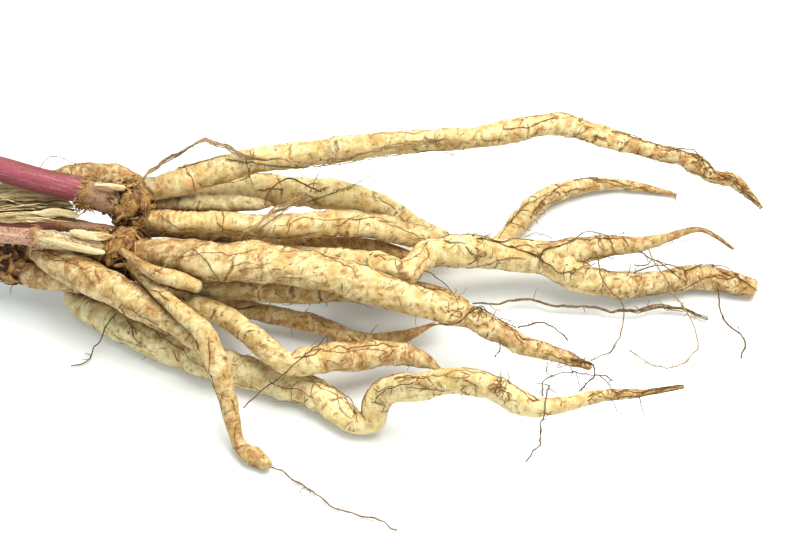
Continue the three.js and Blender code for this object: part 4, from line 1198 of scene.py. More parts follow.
# Thin rootlets that lie over the bunch. Each is a radius and a few places on its way as seen from EYE, in
# whole mm to the right of and above the bunch's middle.
STOUT, FINE, WISP = 0.28, 0.22, 0.17
DARK_HAIRS = [
    # over the pale root at the top
    (FINE, [(-66, 41), (-38, 38), (-6, 42), (17, 45)]),
    (WISP, [(17, 44), (22, 43), (25, 46)]),
    (FINE, [(-84, 38), (-66, 43)]),
    (FINE, [(-35, 25), (-21, 30), (-11, 35)]),
    # round the fork
    (STOUT, [(53, 3), (55, 7), (59, 8), (65, 10), (68, 12), (71, 14), (76, 13), (79, 12), (86, 13)]),
    (STOUT, [(53, 3), (57, 1), (61, -2), (66, -1), (72, 1), (74, 2)]),
    (STOUT, [(42, 8), (48, 6), (53, 5), (55, 7), (61, 8)]),
    (FINE, [(25, 8), (28, 5), (32, 4), (33, 6)]),
    (FINE, [(26, 1), (31, 4)]),
    (FINE, [(17, 10), (25, 9)]),
    (FINE, [(29, 11), (35, 13)]),
    (STOUT, [(30, 11), (38, 10), (44, 11), (51, 10)]),
    (FINE, [(48, 12), (51, 13), (56, 12), (58, 11)]),
    (FINE, [(79, 12), (81, 8), (82, 5)]),
    (FINE, [(84, 12), (86, 10), (87, 8)]),
    (FINE, [(74, 5), (78, 4), (81, 3)]),
    (STOUT, [(91, 6), (100, 1), (109, -5), (107, 1)]),
    # on the stout middle root, and round its tip
    (FINE, [(9, -1), (17, -6), (22, -14)]),
    (STOUT, [(12, -22), (22, -21), (28, -15), (37, -19), (44, -23)]),
    (FINE, [(28, -16), (32, -15), (33, -19)]),
    (WISP, [(38, -19), (41, -20), (45, -24)]),
    (1.5 * FINE, [(38, -28), (38, -31), (36, -34)]),
    (1.8 * FINE, [(45, -23), (49, -22), (54, -21), (59, -23), (64, -28)]),
    (2 * FINE, [(65, -35), (72, -36), (74, -38), (74, -41), (71, -44), (68, -47)]),
    (2 * WISP, [(74, -41), (78, -41), (81, -43)]),
    (STOUT, [(76, -41), (79, -44), (81, -47)]),
    (STOUT, [(74, -41), (67, -40), (58, -41), (55, -43), (54, -49)]),
    (FINE, [(56, -36), (56, -40), (59, -42)]),
    (FINE, [(61, -36), (60, -38), (64, -37), (66, -40)]),
    (FINE, [(67, -40), (68, -43), (69, -47)]),
    # across the roots near the crown
    (STOUT, [(-79, 7), (-73, 2), (-69, -5)]),
    (WISP, [(-123, 2), (-116, -7)]),
    (WISP, [(-107, -15), (-102, -22), (-95, -27)]),
    (FINE, [(-106, -14), (-92, -22)]),
    (FINE, [(-91, 20), (-83, 14)]),
    (FINE, [(-124, 23), (-116, 18), (-111, 14)]),
    (FINE, [(-118, 24), (-112, 17)]),
    (WISP, [(-121, 20), (-111, 19)]),
    # along the far end of the top root
    (FINE, [(80, 52), (86, 51), (93, 48), (101, 46), (107, 44)]),
    (STOUT, [(105, 45), (111, 45), (114, 42), (118, 39), (120, 36)]),
    (STOUT, [(122, 35), (127, 32), (131, 28), (134, 26), (137, 24)]),
    (FINE, [(111, 43), (115, 40), (117, 36)]),
    # along the root behind it
    (FINE, [(66, 33), (72, 34), (80, 33), (88, 31)]),
    (FINE, [(40, 16), (45, 21), (49, 25), (55, 27)]),
    # along the fork's lower limb and its prong
    (STOUT, [(89, -2), (94, 0), (103, 1), (108, -1), (114, 1), (119, 1)]),
    (FINE, [(118, 1), (124, 0), (128, -3), (132, -6)]),
    (FINE, [(89, 1), (94, 1), (97, 3), (101, 1)]),
    (FINE, [(122, -2), (128, -4), (133, -7), (136, -9)]),
    (WISP, [(102, 9), (107, 10), (117, 12)]),
    # round the sharp bend of the long low root
    (FINE, [(-10, -46), (-8, -47), (-6, -46), (-2, -45)]),
    (STOUT, [(-9, -50), (-7, -48), (-5, -46)]),
    (FINE, [(-11, -51), (-8, -52), (-5, -53)]),
    (FINE, [(-23, -47), (-18, -51), (-17, -55), (-16, -59)]),
    (WISP, [(-36, -43), (-30, -44), (-23, -47)]),
    (FINE, [(-5, -46), (6, -44), (11, -46), (17, -47)]),
    # under the bent root
    (FINE, [(91, -49), (93, -57)]),
    (WISP, [(80, -50), (84, -56)]),
]
TAN_HAIRS = [
    (FINE, [(-137, 38), (-133, 42), (-116, 37)]),
    (STOUT, [(-57, 12), (-50, 17), (-39, 25)]),
    (FINE, [(-59, 10), (-46, 12), (-32, 12)]),
    (FINE, [(-95, -3), (-81, 6), (-67, 12)]),
    (STOUT, [(-74, -8), (-69, -5), (-73, -4)]),
    (FINE, [(-110, 13), (-100, 15), (-91, 12)]),
    (STOUT, [(-144, -2), (-138, 1), (-139, -3)]),
    (STOUT, [(-103, 4), (-97, -1), (-91, -7)]),
    (WISP, [(73, 0), (84, -2), (90, -1)]),
]
# Short dark hairs in tufts: where, how many and how long
TUFTS = [((68, -35), 6, 6), ((76, 12), 5, 6), ((84, -46), 3, 5), ((20, 43), 4, 4), ((-14, -15), 4, 4),
         ((-28, -13), 4, 4), ((96, 3), 4, 6), ((52, 18), 3, 4), ((-30, 25), 3, 4), ((64, -2), 4, 5),
         ((-101, -24), 3, 5), ((-32, 35), 4, 4), ((30, -16), 8, 4), ((36, -18), 6, 4), ((42, -21), 5, 4),
         ((-35, 10), 4, 3), ((-20, 13), 4, 3), ((9, 11), 3, 3)]
# Cracks placed one by one: half-width, and the places they pass
SCARS = [
    # rings and torn edges near the crown, on the top root
    (0.30, [(-81, 36), (-79, 33), (-78, 30), (-77, 28)]),
    (0.30, [(-58, 42), (-58, 39), (-57, 35), (-56, 32)]),
    (0.34, [(-74, 31), (-67, 32), (-61, 33), (-57, 35)]),
    # on the third root
    (0.28, [(-68, 22), (-67, 18), (-68, 13)]),
    (0.26, [(-42, 17), (-43, 12)]),
    (0.16, [(-50, 14), (-48, 16), (-44, 16)]),
    (0.18, [(-42, 15), (-40, 18), (-34, 19), (-28, 18), (-19, 19), (-15, 20)]),
    (0.20, [(-15, 19), (-16, 13)]),
    (0.18, [(-9, 18), (0, 15), (5, 13), (10, 10)]),
    # on the stout middle root
    (0.16, [(-65, 0), (-57, 2), (-52, 1), (-49, 2)]),
    (0.17, [(-62, -1), (-52, 0), (-42, -2), (-34, -6)]),
    (0.17, [(-48, -4), (-38, -4), (-25, -8)]),
    (0.15, [(-60, -4), (-50, -5), (-44, -5)]),
    (0.18, [(-41, 10), (-39, 7), (-35, 7)]),
    # on the forked root: its knee, and the middle
    (0.20, [(10, 8), (11, 5), (8, 1), (5, -2)]),
    (0.20, [(-2, 3), (-1, 0), (1, -3)]),
    (0.22, [(26, 7), (27, 5), (31, 5), (33, 6)]),
    (0.20, [(29, 8), (30, 5), (27, 1)]),
    # across the near half of the back root
    (0.22, [(44, 20), (47, 22), (50, 20), (50, 16)]),
    (0.22, [(41, 17), (45, 16), (49, 14)]),
    (0.20, [(56, 26), (53, 24), (51, 22)]),
    (0.24, [(58, 29), (61, 28), (60, 26)]),
    (0.22, [(67, 30), (71, 29), (76, 30)]),
    # short wavy ones along the pointed root
    (0.22, [(-37, -33), (-30, -31), (-23, -32), (-13, -31), (-4, -32)]),
    (0.20, [(-17, -32), (-14, -35), (-15, -38)]),
    (0.20, [(-5, -32), (-8, -35), (-3, -36)]),
    (0.20, [(-28, -35), (-23, -37), (-19, -35)]),
    (0.18, [(0, -34), (4, -36), (3, -39)]),
    # rings before the sharp bend of the kinked root, and small cracks after it
    (0.22, [(-39, -43), (-41, -46), (-41, -50)]),
    (0.20, [(-33, -44), (-34, -48), (-32, -52)]),
    (0.20, [(-24, -48), (-22, -54), (-18, -58)]),
    (0.22, [(-34, -42), (-29, -46), (-23, -49), (-19, -52)]),
    (0.20, [(-9, -49), (-6, -52), (-7, -55)]),
    (0.20, [(-2, -43), (3, -41), (8, -42), (4, -44)]),
    (0.20, [(2, -45), (9, -46), (13, -44)]),
    (0.22, [(17, -41), (22, -42), (27, -41), (23, -40)]),
]
# Roots whose thin tail is wrapped in dark strands: from which share of the length, and how many
TAIL_STRANDS = [("root_kinked", 0.86, 6), ("root_top", 0.975, 4), ("root_centre", 0.93, 5)]
# Knots of small cracks: where, how many and how long
KNOTS = [((38, -45), 22, 5), ((40, -48), 10, 4)]


def view_ray(x, w):
    """The direction from EYE of a place x mm to the right of the bunch's middle and w mm above it."""
    d = MIDDLE + np.multiply.outer(x, ACROSS_VIEW) + np.multiply.outer(w, UP_VIEW) - EYE
    return d / np.linalg.norm(d, axis=-1, keepdims=True)


def skin_tree():
    """Every skin in one search tree, at half resolution."""
    verts, faces, first = [], [], 0
    for limb in SWEEPS.values():
        g = limb.grid[::2, ::2]
        rings, sides = g.shape[:2]
        verts.extend(g.reshape(-1, 3).tolist())
        quads, _ = grid_faces(rings, sides, first)
        faces.extend(quads.tolist())
        first += rings * sides
    return BVHTree.FromPolygons(verts, faces)


TREE = skin_tree()
# Places and distances from EYE of the thin lines laid so far, so that a branch can start from one
LAID = []


def skin_distance(direction):
    """How far from EYE the first skin that way lies, or None."""
    return TREE.ray_cast(Vector(EYE), Vector(direction))[3]


def windows(row, half=3):
    """Copies of a row moved by up to half places both ways, to take the least or the mean of neighbours."""
    padded = np.pad(row, half, "edge")
    return [padded[k:k + len(row)] for k in range(2 * half + 1)]


def start_on_laid(hits, x, w):
    """Gives an end that meets no skin the distance of a line laid near it."""
    for i in (0, -1):
        if hits[i] is None and LAID:
            laid = np.vstack(LAID)
            off = np.hypot(laid[:, 0] - x[i], laid[:, 1] - w[i])
            if off.min() < 1.3:
                hits[i] = laid[off.argmin(), 2]


def hits_beside(aim):
    """Distances of the skin 3.5 mm above or below a line that hangs just off it, whichever has more."""
    beside = [aim + side * 3.5 / DISTANCE * UP_VIEW for side in (1, -1)]
    near = [[skin_distance(Vector(d).normalized()) for d in rays] for rays in beside]
    return max(near, key=lambda row: sum(h is not None for h in row))


def draped(path, radius, seed, step=0.6, lift=1.05):
    """A thin line that lies on whatever is below it, seen from EYE, lifted by so many of its radii."""
    points, _ = curve_points([[x, w, 0, radius] for x, w in path])
    along = length_along(points)
    n = max(5, int(along[-1] / step))
    u = np.linspace(0, along[-1], n)
    x, w = np.interp(u, along, points[:, 0]), np.interp(u, along, points[:, 1])
    q = line_points(u / 2.6, seed * 3.7)
    x, w = x + 0.45 * noise(q) + 0.20 * noise(2.9 * q), w + 0.45 * noise(q + 50) + 0.20 * noise(2.9 * q + 20)
    aim = view_ray(x, w)
    ground = (0.1 - EYE[2]) / aim[:, 2]
    hits = [skin_distance(d) for d in aim]
    start_on_laid(hits, x, w)
    if all(h is None for h in hits):
        hits = hits_beside(aim)
    at = np.array([i for i in range(n) if hits[i] is not None])
    if not len(at):
        return None
    # between skins it hangs down toward the ground
    away = np.abs(np.arange(n)[:, None] - at[None, :]).min(1) * (u[1] - u[0])
    reach = np.minimum(ground, np.interp(np.arange(n), at, [hits[i] for i in at]) + 0.5 * away)
    gentle = np.mean(windows(np.min(windows(reach), axis=0)), axis=0)
    far = np.minimum(gentle, reach) - radius * lift
    LAID.append(np.column_stack([x, w, far]))
    p = EYE + aim * far[:, None]
    p[:, 2] = np.maximum(p[:, 2], radius + 0.05)
    thick = radius * (1 + 0.3 * noise(q * 1.7 + 9)) * np.linspace(1.0, 0.65, n)
    return p, thick


def random_hair(limb, dice):
    """A short hair that leaves the skin at a low angle and bends gently."""
    radius = dice.uniform(0.11, 0.19)
    s0, a0 = dice.uniform(8, limb.length), dice.rand() * 2 * math.pi
    p, out = (rows[0] for rows in limb.at(np.array([s0]), np.array([a0]), -0.1))
    k = int(np.clip(np.searchsorted(limb.distance, s0), 0, limb.rings - 1))
    d = out * dice.uniform(0.25, 1.0) + limb.tangent[k] * dice.normal() * 0.8 + dice.normal(size=3) * 0.3
    turn = dice.normal(size=3) * 0.12
    line = [p]
    n = dice.randint(4, 11)
    for _ in range(n):
        turn = turn * 0.85 + dice.normal(size=3) * 0.07
        d = d / np.linalg.norm(d) + turn
        p = p + 0.7 * d / np.linalg.norm(d)
        p[2] = max(p[2], 0.25)
        line.append(p)
    return np.array(line), np.linspace(radius, radius * 0.4, n + 1)


def tuft_paths(tufts, dice):
    """Short bent paths that spread out of the tufts' spots, apart from any that start beside the skins."""
    for spot, count, length in tufts:
        for _ in range(count):
            heading, bend = dice.uniform(0, 2 * math.pi), dice.normal() * 0.8
            reach = length * dice.uniform(0.5, 1.0)
            path = [np.array(spot) + dice.normal(size=2) * 1.2]
            for k in range(3):
                a = heading + bend * k
                path.append(path[-1] + reach / 3 * np.array([math.cos(a), math.sin(a)]))
            if skin_distance(view_ray(*path[0])) is not None:
                yield path


def tail_strands(limb, first, count, dice):
    """Dark strands that wind round a root's tail."""
    for k in range(count):
        s = limb.length * np.linspace(first + 0.08 * dice.rand(), 1.0, 40)
        a = 2 * math.pi * k / count + s / 11 + noise(line_points(s / 5, 3 * k))
        p, _ = limb.at(s, a, 0.05)
        yield p, dice.uniform(0.2, 0.34) * np.linspace(0.5, 1, 40)


def add_hairs():
    """Hairs and cracks on the skins: those listed, then random hairs on every root."""
    dark, tan, scars = [], [], []
    for lines, hairs in ((dark, DARK_HAIRS), (tan, TAN_HAIRS)):
        for i, (radius, path) in enumerate(hairs):
            laid = draped(path, radius, len(dark) + i + 1)
            if laid:
                p, r = laid
                lines.extend([laid] + side_hairs(p, r, int(len(p) / 9), 300 + i, (1, 4), radius * 0.6))
    dice = np.random.RandomState(77)
    for path in tuft_paths(TUFTS, dice):
        dark.append(draped(path, WISP, 500 + len(dark)))
    for i, (half, path) in enumerate(SCARS):
        scars.append(draped(path, 0.8 * half, 700 + i, 0.4, -0.15))
    scars = [scar for scar in scars if scar]
    for path in tuft_paths(KNOTS, dice):
        scars.append(draped(path, dice.uniform(0.12, 0.2), 800 + len(scars), 0.4, 0.1))
    add_tubes("crack_lines_placed", scars, CRACK, "root_skin", sides=4)
    for name, first, count in TAIL_STRANDS:
        dark.extend(tail_strands(SWEEPS[name], first, count, dice))
    for name, limb in SWEEPS.items():
        dice = np.random.RandomState(int(limb.seed) + 900)
        for _ in range(int(1.7 * STYLE[name]["hairs"])):
            lines = dark if dice.rand() < 0.75 else tan
            lines.append(random_hair(limb, dice))
    add_tubes("hair_dark", dark, FIBRE_DARK, "rootlet", sides=4)
    add_tubes("hair_tan", tan, FIBRE_TAN, "rootlet", sides=4)


add_hairs()

# ---------------------------------------------------------------- stems, tongues and husks
# The undersides of the stems, as a direction
BELOW = np.array([0.0, -0.55, -0.83])


def dress_stem(name, material, slot, ribs, seed, node_at, node_width):
    """A ribbed stem, and the shaggy ring that a leaf left node_at mm along it."""
    limb = Sweep(STEMS[name], 0.5, 64, seed, 0, end=0.02)
    q = limb.straight
    wander = 0.15 * noise(q / np.array([30.0, 4, 4]))
    ridge = np.cos(ribs * (limb.angle[None, :] + wander))
    above = smooth(node_at - 2, node_at + 2, limb.distance)[:, None]
    h = 0.11 * ridge * (0.35 + 0.65 * above) + 0.12 * fbm(q / np.array([9.0, 3, 3]), 2)
    h += (1 - above) * (0.30 * noise(q / np.array([5.0, 2.4, 2.4]) + 3) + 0.12 * noise(q / 1.2))
    edge = node_at + 0.8 * noise(q / 2.2 + 9)
    node = np.exp(-((limb.distance[:, None] - edge) / node_width) ** 2)
    shreds = 1 - 2 * np.abs(noise(q / np.array([4.0, 0.8, 0.8]) + 5))
    h += node * 0.55 * shreds
    limb.radial = limb.radial + h
    limb.finish()
    limb.along = np.repeat(limb.share, limb.sides, 1)
    limb.up = np.clip(limb.out @ np.array([0, 0.75, 0.66]), 0, 1)
    cut = (limb.scale < 0.96) & (limb.distance > limb.length / 2)
    limb.cut = np.repeat(cut.astype(float)[:, None], limb.sides, 1)
    limb.node = np.clip(node * 1.3 * (0.6 + 0.6 * shreds), 0, 1)
    build("skin_" + name, [limb], material, slot, ("along", "up", "cut", "node"), (name,))
    return limb


def shred_ring(limb, at, count, seed, radius, length):
    """Short torn fibres round a stem at a node, which lean along it."""
    dice = np.random.RandomState(seed)
    lines = []
    steps = np.linspace(0, 1, 6)
    for _ in range(count):
        s0, a0 = at + dice.normal() * 0.8, dice.rand() * 2 * math.pi
        reach = dice.uniform(*length) * (1 if dice.rand() < 0.6 else -1)
        lift = dice.uniform(0.1, 0.5) + dice.uniform(0, 1.1) * steps ** 2
        p, _ = limb.at(s0 + reach * steps, a0 + 0.25 * dice.normal() * steps, lift)
        lines.append((p, np.linspace(dice.uniform(*radius), 0.1, len(steps))))
    return lines


def hanging_shreds(limb, first, last, count, seed):
    """Torn bark that hangs off the underside of a stem."""
    dice = np.random.RandomState(seed)
    lines = []
    while len(lines) < count:
        s0, a0 = dice.uniform(first, last), dice.uniform(0, 2 * math.pi)
        p, out = (rows[0] for rows in limb.at(np.array([s0]), np.array([a0]), -0.1))
        if out @ BELOW < 0.35:
            continue
        way = out * 0.7 + np.array([dice.normal(), 0, 0]) + 0.4 * dice.normal(size=3)
        n, reach = 7, dice.uniform(1.5, 5.0)
        line = [p]
        for _ in range(n):
            way = way / np.linalg.norm(way) + 0.3 * dice.normal(size=3)
            line.append(line[-1] + way / np.linalg.norm(way) * reach / n)
        lines.append((np.array(line), np.linspace(dice.uniform(0.25, 0.6), 0.1, n + 1)))
    return lines


stem_large = dress_stem("stem_large", STEM_RED, "stem_red", 30, 31, 15.0, 1.5)
stem_brown = dress_stem("stem_brown", STEM_BROWN, "stem_red", 16, 32, 26.0, 0.9)
stem_pale = dress_stem("stem_pale", STEM_PALE, "stem_pale", 16, 33, 29.5, 0.8)
shreds = shred_ring(stem_large, 14.5, 48, 81, (0.2, 0.40), (1, 3.2))
shreds += shred_ring(stem_large, 3.0, 34, 82, (0.2, 0.42), (1.5, 4))
shreds += shred_ring(stem_pale, 29.0, 26, 83, (0.14, 0.28), (1, 3))
shreds += shred_ring(stem_brown, 25.5, 22, 84, (0.14, 0.26), (1, 3))
shreds += hanging_shreds(stem_large, 11, 18, 70, 85)
add_tubes("node_shreds", shreds, CHAFF, "crown_bark", sides=4)

for n, (name, stations) in enumerate(TONGUES.items()):
    limb = Sweep(stations, 0.4, 28, 41 + n, 0.05)
    fold = np.cos(2 * limb.angle[None, :] + 0.06 * limb.distance[:, None])
    limb.radial = limb.radial * (0.74 + 0.14 * fold) + 0.22 * noise(limb.straight / np.array([7.0, 1.3, 1.3]))
    limb.finish()
    build("skin_" + name, [limb], TONGUE, "dry_husk", (), (name,))


def dress_strip(name, stations, seed, thickness=0.5, sides=44):
    """A thin cupped strip with torn edges."""
    s, centres, extras, tangents, _, _ = sweep_frames(stations, 0.5)
    width, cup = extras[:, :1], extras[:, 1:]
    across = np.array([0, 0.77, 0.64])
    across_ways = unit(across - (tangents @ across)[:, None] * tangents)
    up_ways = np.cross(tangents, across_ways)
    a = np.arange(sides) * math.pi / (sides / 2)
    side = np.cos(a)
    q = grid_route(s, width * side, np.sin(a) * 0.4) + seed * 9.3
    edge = 1 + 0.16 * noise(q / np.array([2.2, 50, 50]) + 4) * np.abs(side)
    end = np.clip(np.minimum(s + 0.4, s[-1] - s + 0.4) / 2.5, 0, 1)[:, None] ** 0.5
    x = side * width * edge * end
    curl = cup * width * side ** 2 + 0.35 * noise(q / np.array([7.0, 2, 50]) + 8)
    y = curl + np.sin(a) * thickness / 2 + 0.10 * noise(q / np.array([12.0, 0.5, 50]))
    grid = centres[:, None] + across_ways[:, None] * x[..., None] - up_ways[:, None] * y[..., None]
    batch = Batch()
    batch.add(with_middles(grid), len(s), sides, with_end_rows(q))
    material = {"sheath_flat": TONGUE, "husk_inner": HUSK_DARK}.get(name, HUSK)
    batch.mesh("skin_" + name, material, "dry_husk", replaces=(name,))


for n, (name, stations) in enumerate(STRIPS.items()):
    dress_strip(name, stations, 50 + n)


def husk_shreds():
    """Torn fibres of the dry sheaths, which lie along them."""
    dice = np.random.RandomState(91)
    pale, dark = [], []
    n = 14
    taper = np.sin(np.linspace(0.3, 2.9, n))
    for _ in range(90):
        y = dice.uniform(8, 27)
        z = np.interp(y, [8, 13, 18, 27], [39.2, 36.4, 39.0, 37.4]) + dice.normal() * 0.35
        length = dice.uniform(8, 26)
        x0 = dice.uniform(-169, -134 - 0.5 * length)
        x = np.linspace(x0, x0 + length, n)
        rise = dice.normal() * 0.10
        line = np.column_stack([x, y + rise * (x - x0) - 0.05 * (x + 150), z + 0.3 * rise * (x - x0)])
        line = wiggle(line, dice.rand() * 50, 0.6, 7.0)
        lines = dark if 12 < y < 18 and dice.rand() < 0.5 else pale
        lines.append((line, dice.uniform(0.12, 0.34) * taper))
    # those across the dark opening draw together toward its right end
    for _ in range(90):
        x0, length, spread = dice.uniform(-166, -136), dice.uniform(9, 24), dice.uniform(-1, 1)
        x = np.linspace(x0, min(x0 + length, -122.5 + dice.normal()), n)
        y = 15.8 + 2.6 * spread * np.clip((-120 - x) / 30, 0, 1)
        z = np.full(n, 36 + 0.7 * dice.normal())
        line = wiggle(np.column_stack([x, y, z]), dice.rand() * 50, 0.7, 6.0)
        lines = dark if dice.rand() < 0.6 else pale
        lines.append((line, dice.uniform(0.15, 0.45) * taper))
    add_tubes("husk_shreds", pale, HUSK, "dry_husk")
    add_tubes("husk_shreds_dark", dark, HUSK_DARK, "dry_husk")


husk_shreds()

# ---------------------------------------------------------------- crown
LEFT_HEAD = 4
HEAD_RINGS, HEAD_SIDES = 110, 150
# Of each head: its points, the ways out from its centre, and its relief
crown_points = []


def sphere_grid(rings, sides):
    """Points of a ball of radius 1, without its poles."""
    a = np.linspace(0, math.pi, rings + 2)[1:-1]
    b = np.arange(sides) * 2 * math.pi / sides
    return np.stack([np.sin(a)[:, None] * np.cos(b)[None], np.sin(a)[:, None] * np.sin(b)[None],
                     np.repeat(np.cos(a)[:, None], sides, 1)], -1)


def knobs(p, count, dice):
    """Height of overlapping lumps, each drawn out along one way, over a surface."""
    flat = p.reshape(-1, 3)
    height = np.zeros(p.shape[:2])
    for centre in flat[dice.randint(len(flat), size=count)]:
        size = dice.uniform(1.2, 3.0)
        way = dice.normal(size=3)
        way /= np.linalg.norm(way)
        v = p - centre
        along = v @ way
        far = (v * v).sum(-1) - along ** 2 + (along / dice.uniform(1.2, 2.6)) ** 2
        height = np.maximum(height, 0.8 * size * np.sqrt(np.clip(1 - far / size ** 2, 0, 1)))
    return height


def build_crown():
    """Heads of lumpy bark with painted shade between the lumps, the rootlike left head smoother than the rest
    and lifted out of that shade.
    """
    dice = np.random.RandomState(60)
    batch, heights = Batch(), []
    for n, (centre, radii) in enumerate(CROWN_HEADS):
        # the left head's relief counts 0.35 higher in the painted shade, so it stays lighter
        count, size, raised = (60, 0.55, 0.35) if n == LEFT_HEAD else (85, 1.0, 0)
        d = sphere_grid(HEAD_RINGS, HEAD_SIDES)
        x, y, z = d[..., 0], d[..., 1], d[..., 2]
        swell = 1 + 0.06 * np.sin(5 * x + 2 * z + centre[1]) * np.cos(4 * y + 3 * z)
        p = np.array(centre) + d * np.array(radii) * swell[..., None]
        lumps = knobs(p, count, dice)
        folded = 1 - 2 * np.abs(noise(p / np.array([1.7, 4.5, 4.5]) + 23))
        rough = 0.9 * (lumps - 1.1) + 0.45 * folded + 0.25 * noise(p / 1.3)
        rough = rough + 0.25 * (1 - 2 * np.abs(noise(p / 0.9 + 7)))
        p = p + d * (size * 1.05 * rough + 0.9 * noise(p / 6.5 + 17))[..., None]
        crown_points.append((p, d, rough))
        batch.add(with_middles(p), HEAD_RINGS, HEAD_SIDES, flip=True)
        heights.append(np.r_[rough.ravel(), 0, 0] + raised)
    bridge = Sweep(CROWN_BRIDGE, 0.6, 48, 71, 0.08)
    rough = 1 - 2 * np.abs(noise(bridge.straight / 2.6))
    bridge.radial = bridge.radial + 0.5 * rough
    bridge.finish()
    batch.add(bridge.verts(), bridge.rings, bridge.sides)
    heights.append(bridge.with_poles(rough))
    batch.mesh("skin_crown", CROWN, "crown_bark", {"height": np.concatenate(heights)}, ("crown",))


def add_ribbons(name, ribbons, material, slot, sides=8):
    """One piece of flat tubes that lie on a surface: each one's points, ways out, half widths and half
    thickness."""
    batch = Batch()
    a = np.arange(sides) * 2 * math.pi / sides
    c, sn = np.cos(a), np.sin(a)
    for i, (p, out, width, thick) in enumerate(ribbons):
        tangents = unit(np.gradient(p, axis=0))
        across_ways = unit(np.cross(tangents, out), 1e-6)
        up_ways = np.cross(across_ways, tangents)
        across = width[:, None] * c
        curl = 0.35 * width[:, None, None] * (c ** 2)[None, :, None]
        grid = p[:, None] + across[..., None] * across_ways[:, None]
        grid = grid + (thick * sn)[None, :, None] * up_ways[:, None]
        grid = grid + curl * up_ways[:, None]
        verts = np.vstack([grid.reshape(-1, 3), p[0] - tangents[0] * 0.1, p[-1] + tangents[-1] * 0.1])
        q = grid_route(length_along(p), across, sn) + i * LINE_GAP
        batch.add(verts, len(p), sides, with_end_rows(q))
    batch.mesh(name, material, slot)


def head_walk(dice, heads, length, wrap, rise, lift):
    """A path over a crown head: mostly round the long axis if wrap is near 1, mostly along it if near 0."""
    p, d, _ = crown_points[heads[dice.randint(len(heads))]]
    centre = p.reshape(-1, 3).mean(0)
    k, j = dice.randint(4, p.shape[0] - 4), dice.randint(p.shape[1])
    here, out = p[k, j].copy(), d[k, j]
    round_axis = np.cross(np.array([1.0, 0, 0]), out)
    heading = wrap * round_axis * (1 if dice.rand() < 0.5 else -1)
    heading = heading + (1 - wrap) * np.array([dice.choice([-1, 1]), 0, 0])
    heading = heading + dice.normal(size=3) * 0.35
    n = dice.randint(7, 12)
    step = dice.uniform(*length) / n
    line, outs = [here + out * lift], [out]
    for i in range(n):
        heading = heading + dice.normal(size=3) * 0.16
        out = (here - centre) / np.linalg.norm(here - centre)
        heading -= out * (np.dot(heading, out) - rise * 0.22 * (i / n))
        heading /= np.linalg.norm(heading)
        here = here + heading * step
        line.append(here + out * lift)
        outs.append(out)
    return np.array(line), np.array(outs)


def flake_width(least, most, n, dice):
    """Half widths of a flake with blunt ends."""
    return dice.uniform(least, most) * np.sin(np.linspace(0.35, math.pi - 0.12, n)) ** 0.6


def dress_crown():
    """Flakes of bark, pale threads and dark hairs on the heads. A head named more often has more of them."""
    dice = np.random.RandomState(61)
    flakes = []
    for _ in range(250):
        heads, wraps = [0, 0, 0, 1, 1, 3, 2, LEFT_HEAD], [0.9, 0.5, 0.1]
        p, out = head_walk(dice, heads, (2.5, 8), dice.choice(wraps), dice.uniform(-0.6, 0.9), 0.0)
        width = flake_width(0.35, 0.95, len(p), dice)
        width *= 1 + 0.25 * noise(line_points(np.arange(len(p)) * 0.9, dice.rand() * 50))
        flakes.append((p, out, width, dice.uniform(0.14, 0.30)))
    for _ in range(80):
        p, out = head_walk(dice, [LEFT_HEAD], (2.5, 7), dice.choice([0.9, 0.4]), dice.uniform(0, 1.2), 0.6)
        flakes.append((p, out, flake_width(0.4, 1.0, len(p), dice), dice.uniform(0.14, 0.30)))
    add_ribbons("crown_flakes", flakes, CHAFF, "crown_bark")
    threads, hairs = [], []
    for _ in range(95):
        heads = [0, 0, 0, 1, 1, 1, 3, 3, 2]
        p, _ = head_walk(dice, heads, (4, 11), dice.uniform(0, 1), dice.uniform(-0.3, 2.2), 0.25)
        threads.append((p, np.linspace(dice.uniform(0.14, 0.32), 0.08, len(p))))
    add_tubes("crown_threads", threads, CHAFF, "crown_bark", sides=4)
    for _ in range(90):
        heads = [0, 0, 1, 1, 3, 2, LEFT_HEAD, LEFT_HEAD]
        p, _ = head_walk(dice, heads, (4, 12), dice.uniform(0, 1), dice.uniform(0, 2.6), 0.2)
        hairs.append((p, np.linspace(dice.uniform(0.12, 0.26), 0.08, len(p))))
    add_tubes("crown_hairs", hairs, FIBRE_DARK, "rootlet", sides=4)


def add_crumbs(name, centres, sizes, material, seed, rings=4, sides=8):
    """One piece of irregular grains."""
    d = sphere_grid(rings, sides)
    batch = Batch()
    for i, (centre, size) in enumerate(zip(centres, sizes)):
        bumpy = 1 + 0.45 * noise(d * 1.7 + i * 3.3 + seed)
        grid = centre + d * (size * bumpy)[..., None] * np.array([1, 0.85, 0.75])
        batch.add(with_middles(grid), rings, sides, flip=True)
    batch.mesh(name, material, "crown_bark")


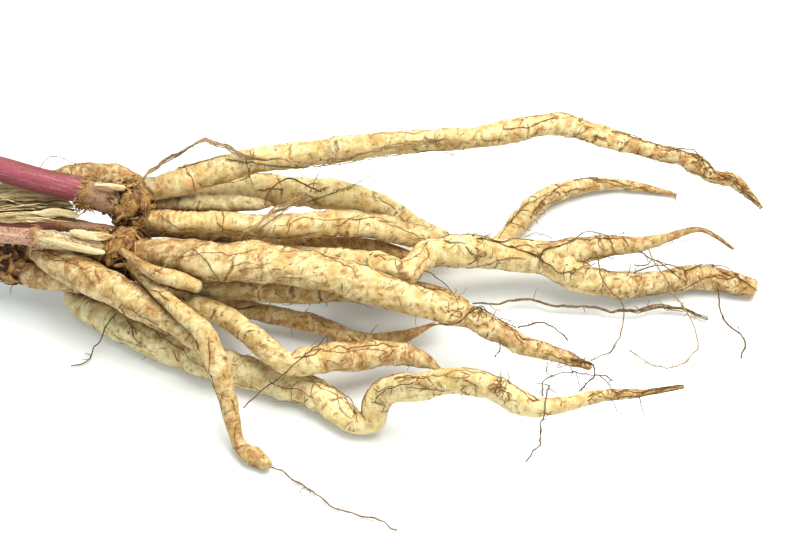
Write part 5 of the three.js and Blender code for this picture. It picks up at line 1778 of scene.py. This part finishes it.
def add_soil():
    """Crumbs in the hollows of the bark, in a pocket on top of the left head, and under the large stem."""
    dice = np.random.RandomState(64)
    centres, sizes = [], []
    while len(centres) < 420:
        p, d, rough = crown_points[[0, 0, 1, 1, 2, 3][dice.randint(6)]]
        k, j = dice.randint(8, p.shape[0] - 8), dice.randint(p.shape[1])
        if rough[k, j] < dice.uniform(-0.4, 0.3):
            centres.append(p[k, j] + d[k, j] * dice.uniform(-0.2, 0.4))
            sizes.append(0.95 * dice.uniform(0.25, 1.0) ** 1.6)
    p, d, _ = crown_points[LEFT_HEAD]
    pocket = np.array([-0.1, -0.35, 0.93])
    near = np.argwhere(d @ (pocket / np.linalg.norm(pocket)) > 0.80)
    for k, j in near[dice.permutation(len(near))[:330]]:
        centres.append(p[k, j] + d[k, j] * dice.uniform(-0.2, 0.4))
        sizes.append(1.15 * dice.uniform(0.3, 1.0) ** 1.5)
    for _ in range(110):
        s0, a0 = dice.uniform(1, 19), dice.uniform(0, 2 * math.pi)
        p, out = (rows[0] for rows in stem_large.at(np.array([s0]), np.array([a0]), 0.1))
        if out @ BELOW > dice.uniform(0.2, 0.9):
            centres.append(p)
            sizes.append(0.9 * dice.uniform(0.3, 1.0) ** 1.5)
    add_crumbs("soil_crumbs", centres, sizes, SOIL, 2)


build_crown()
dress_crown()
add_soil()

# ---------------------------------------------------------------- floor, light and camera
bpy.ops.mesh.primitive_plane_add(size=6, location=(0, 0, -0.0001))
floor = bpy.context.object
floor.name = "floor"
fm, ft, fb = new_material("floor_white")
cloud = noise_tex(ft, make(ft, "TexCoord", out="Object"), 0.6, 2)
put(ft, fb.inputs["Base Color"], mix(ft, cloud, (0.86, 0.88, 0.88), (0.88, 0.89, 0.89)))
fb.inputs["Roughness"].default_value = 0.6
fb.inputs["Specular IOR Level"].default_value = 0.1
# a faint glow keeps the shadow under the bunch pale and cool
fb.inputs["Emission Color"].default_value = (0.78, 0.97, 1.0, 1)
fb.inputs["Emission Strength"].default_value = 0.06
floor.data.materials.append(fm)

world = bpy.data.worlds.new("studio")
bpy.context.scene.world = world
world.use_nodes = True
sky = world.node_tree.nodes["Background"]
sky.inputs["Color"].default_value = (0.88, 0.98, 0.98, 1)
sky.inputs["Strength"].default_value = 0.70


def area(name, spot, aim, size, power, colour=(1, 1, 1)):
    """A square softbox at spot that faces aim, in metres and watts."""
    light = bpy.data.lights.new(name, "AREA")
    light.shape, light.size, light.energy, light.color = "SQUARE", size, power, colour
    obj = bpy.data.objects.new(name, light)
    obj.location = spot
    obj.rotation_euler = (Vector(aim) - Vector(spot)).to_track_quat("-Z", "Y").to_euler()
    bpy.context.scene.collection.objects.link(obj)


area("softbox_top", (0.20, 0.12, 0.83), (0.02, 0, 0), 0.70, 11.0, (1, 0.97, 0.92))
area("softbox_left", (-0.7, -0.35, 0.55), (0, 0, 0), 0.5, 0.5)

cam = bpy.data.cameras.new("camera")
cam.lens, cam.sensor_width = 100.07, 36
cam.clip_start, cam.clip_end = 0.01, 20
camera = bpy.data.objects.new("camera", cam)
camera.location = Vector(place(MIDDLE) + FRONT * DISTANCE * MM)
camera.rotation_euler = (math.radians(90) - ELEVATION, 0, 0)
bpy.context.scene.collection.objects.link(camera)
bpy.context.scene.camera = camera
bpy.context.scene.view_settings.view_transform = "Standard"
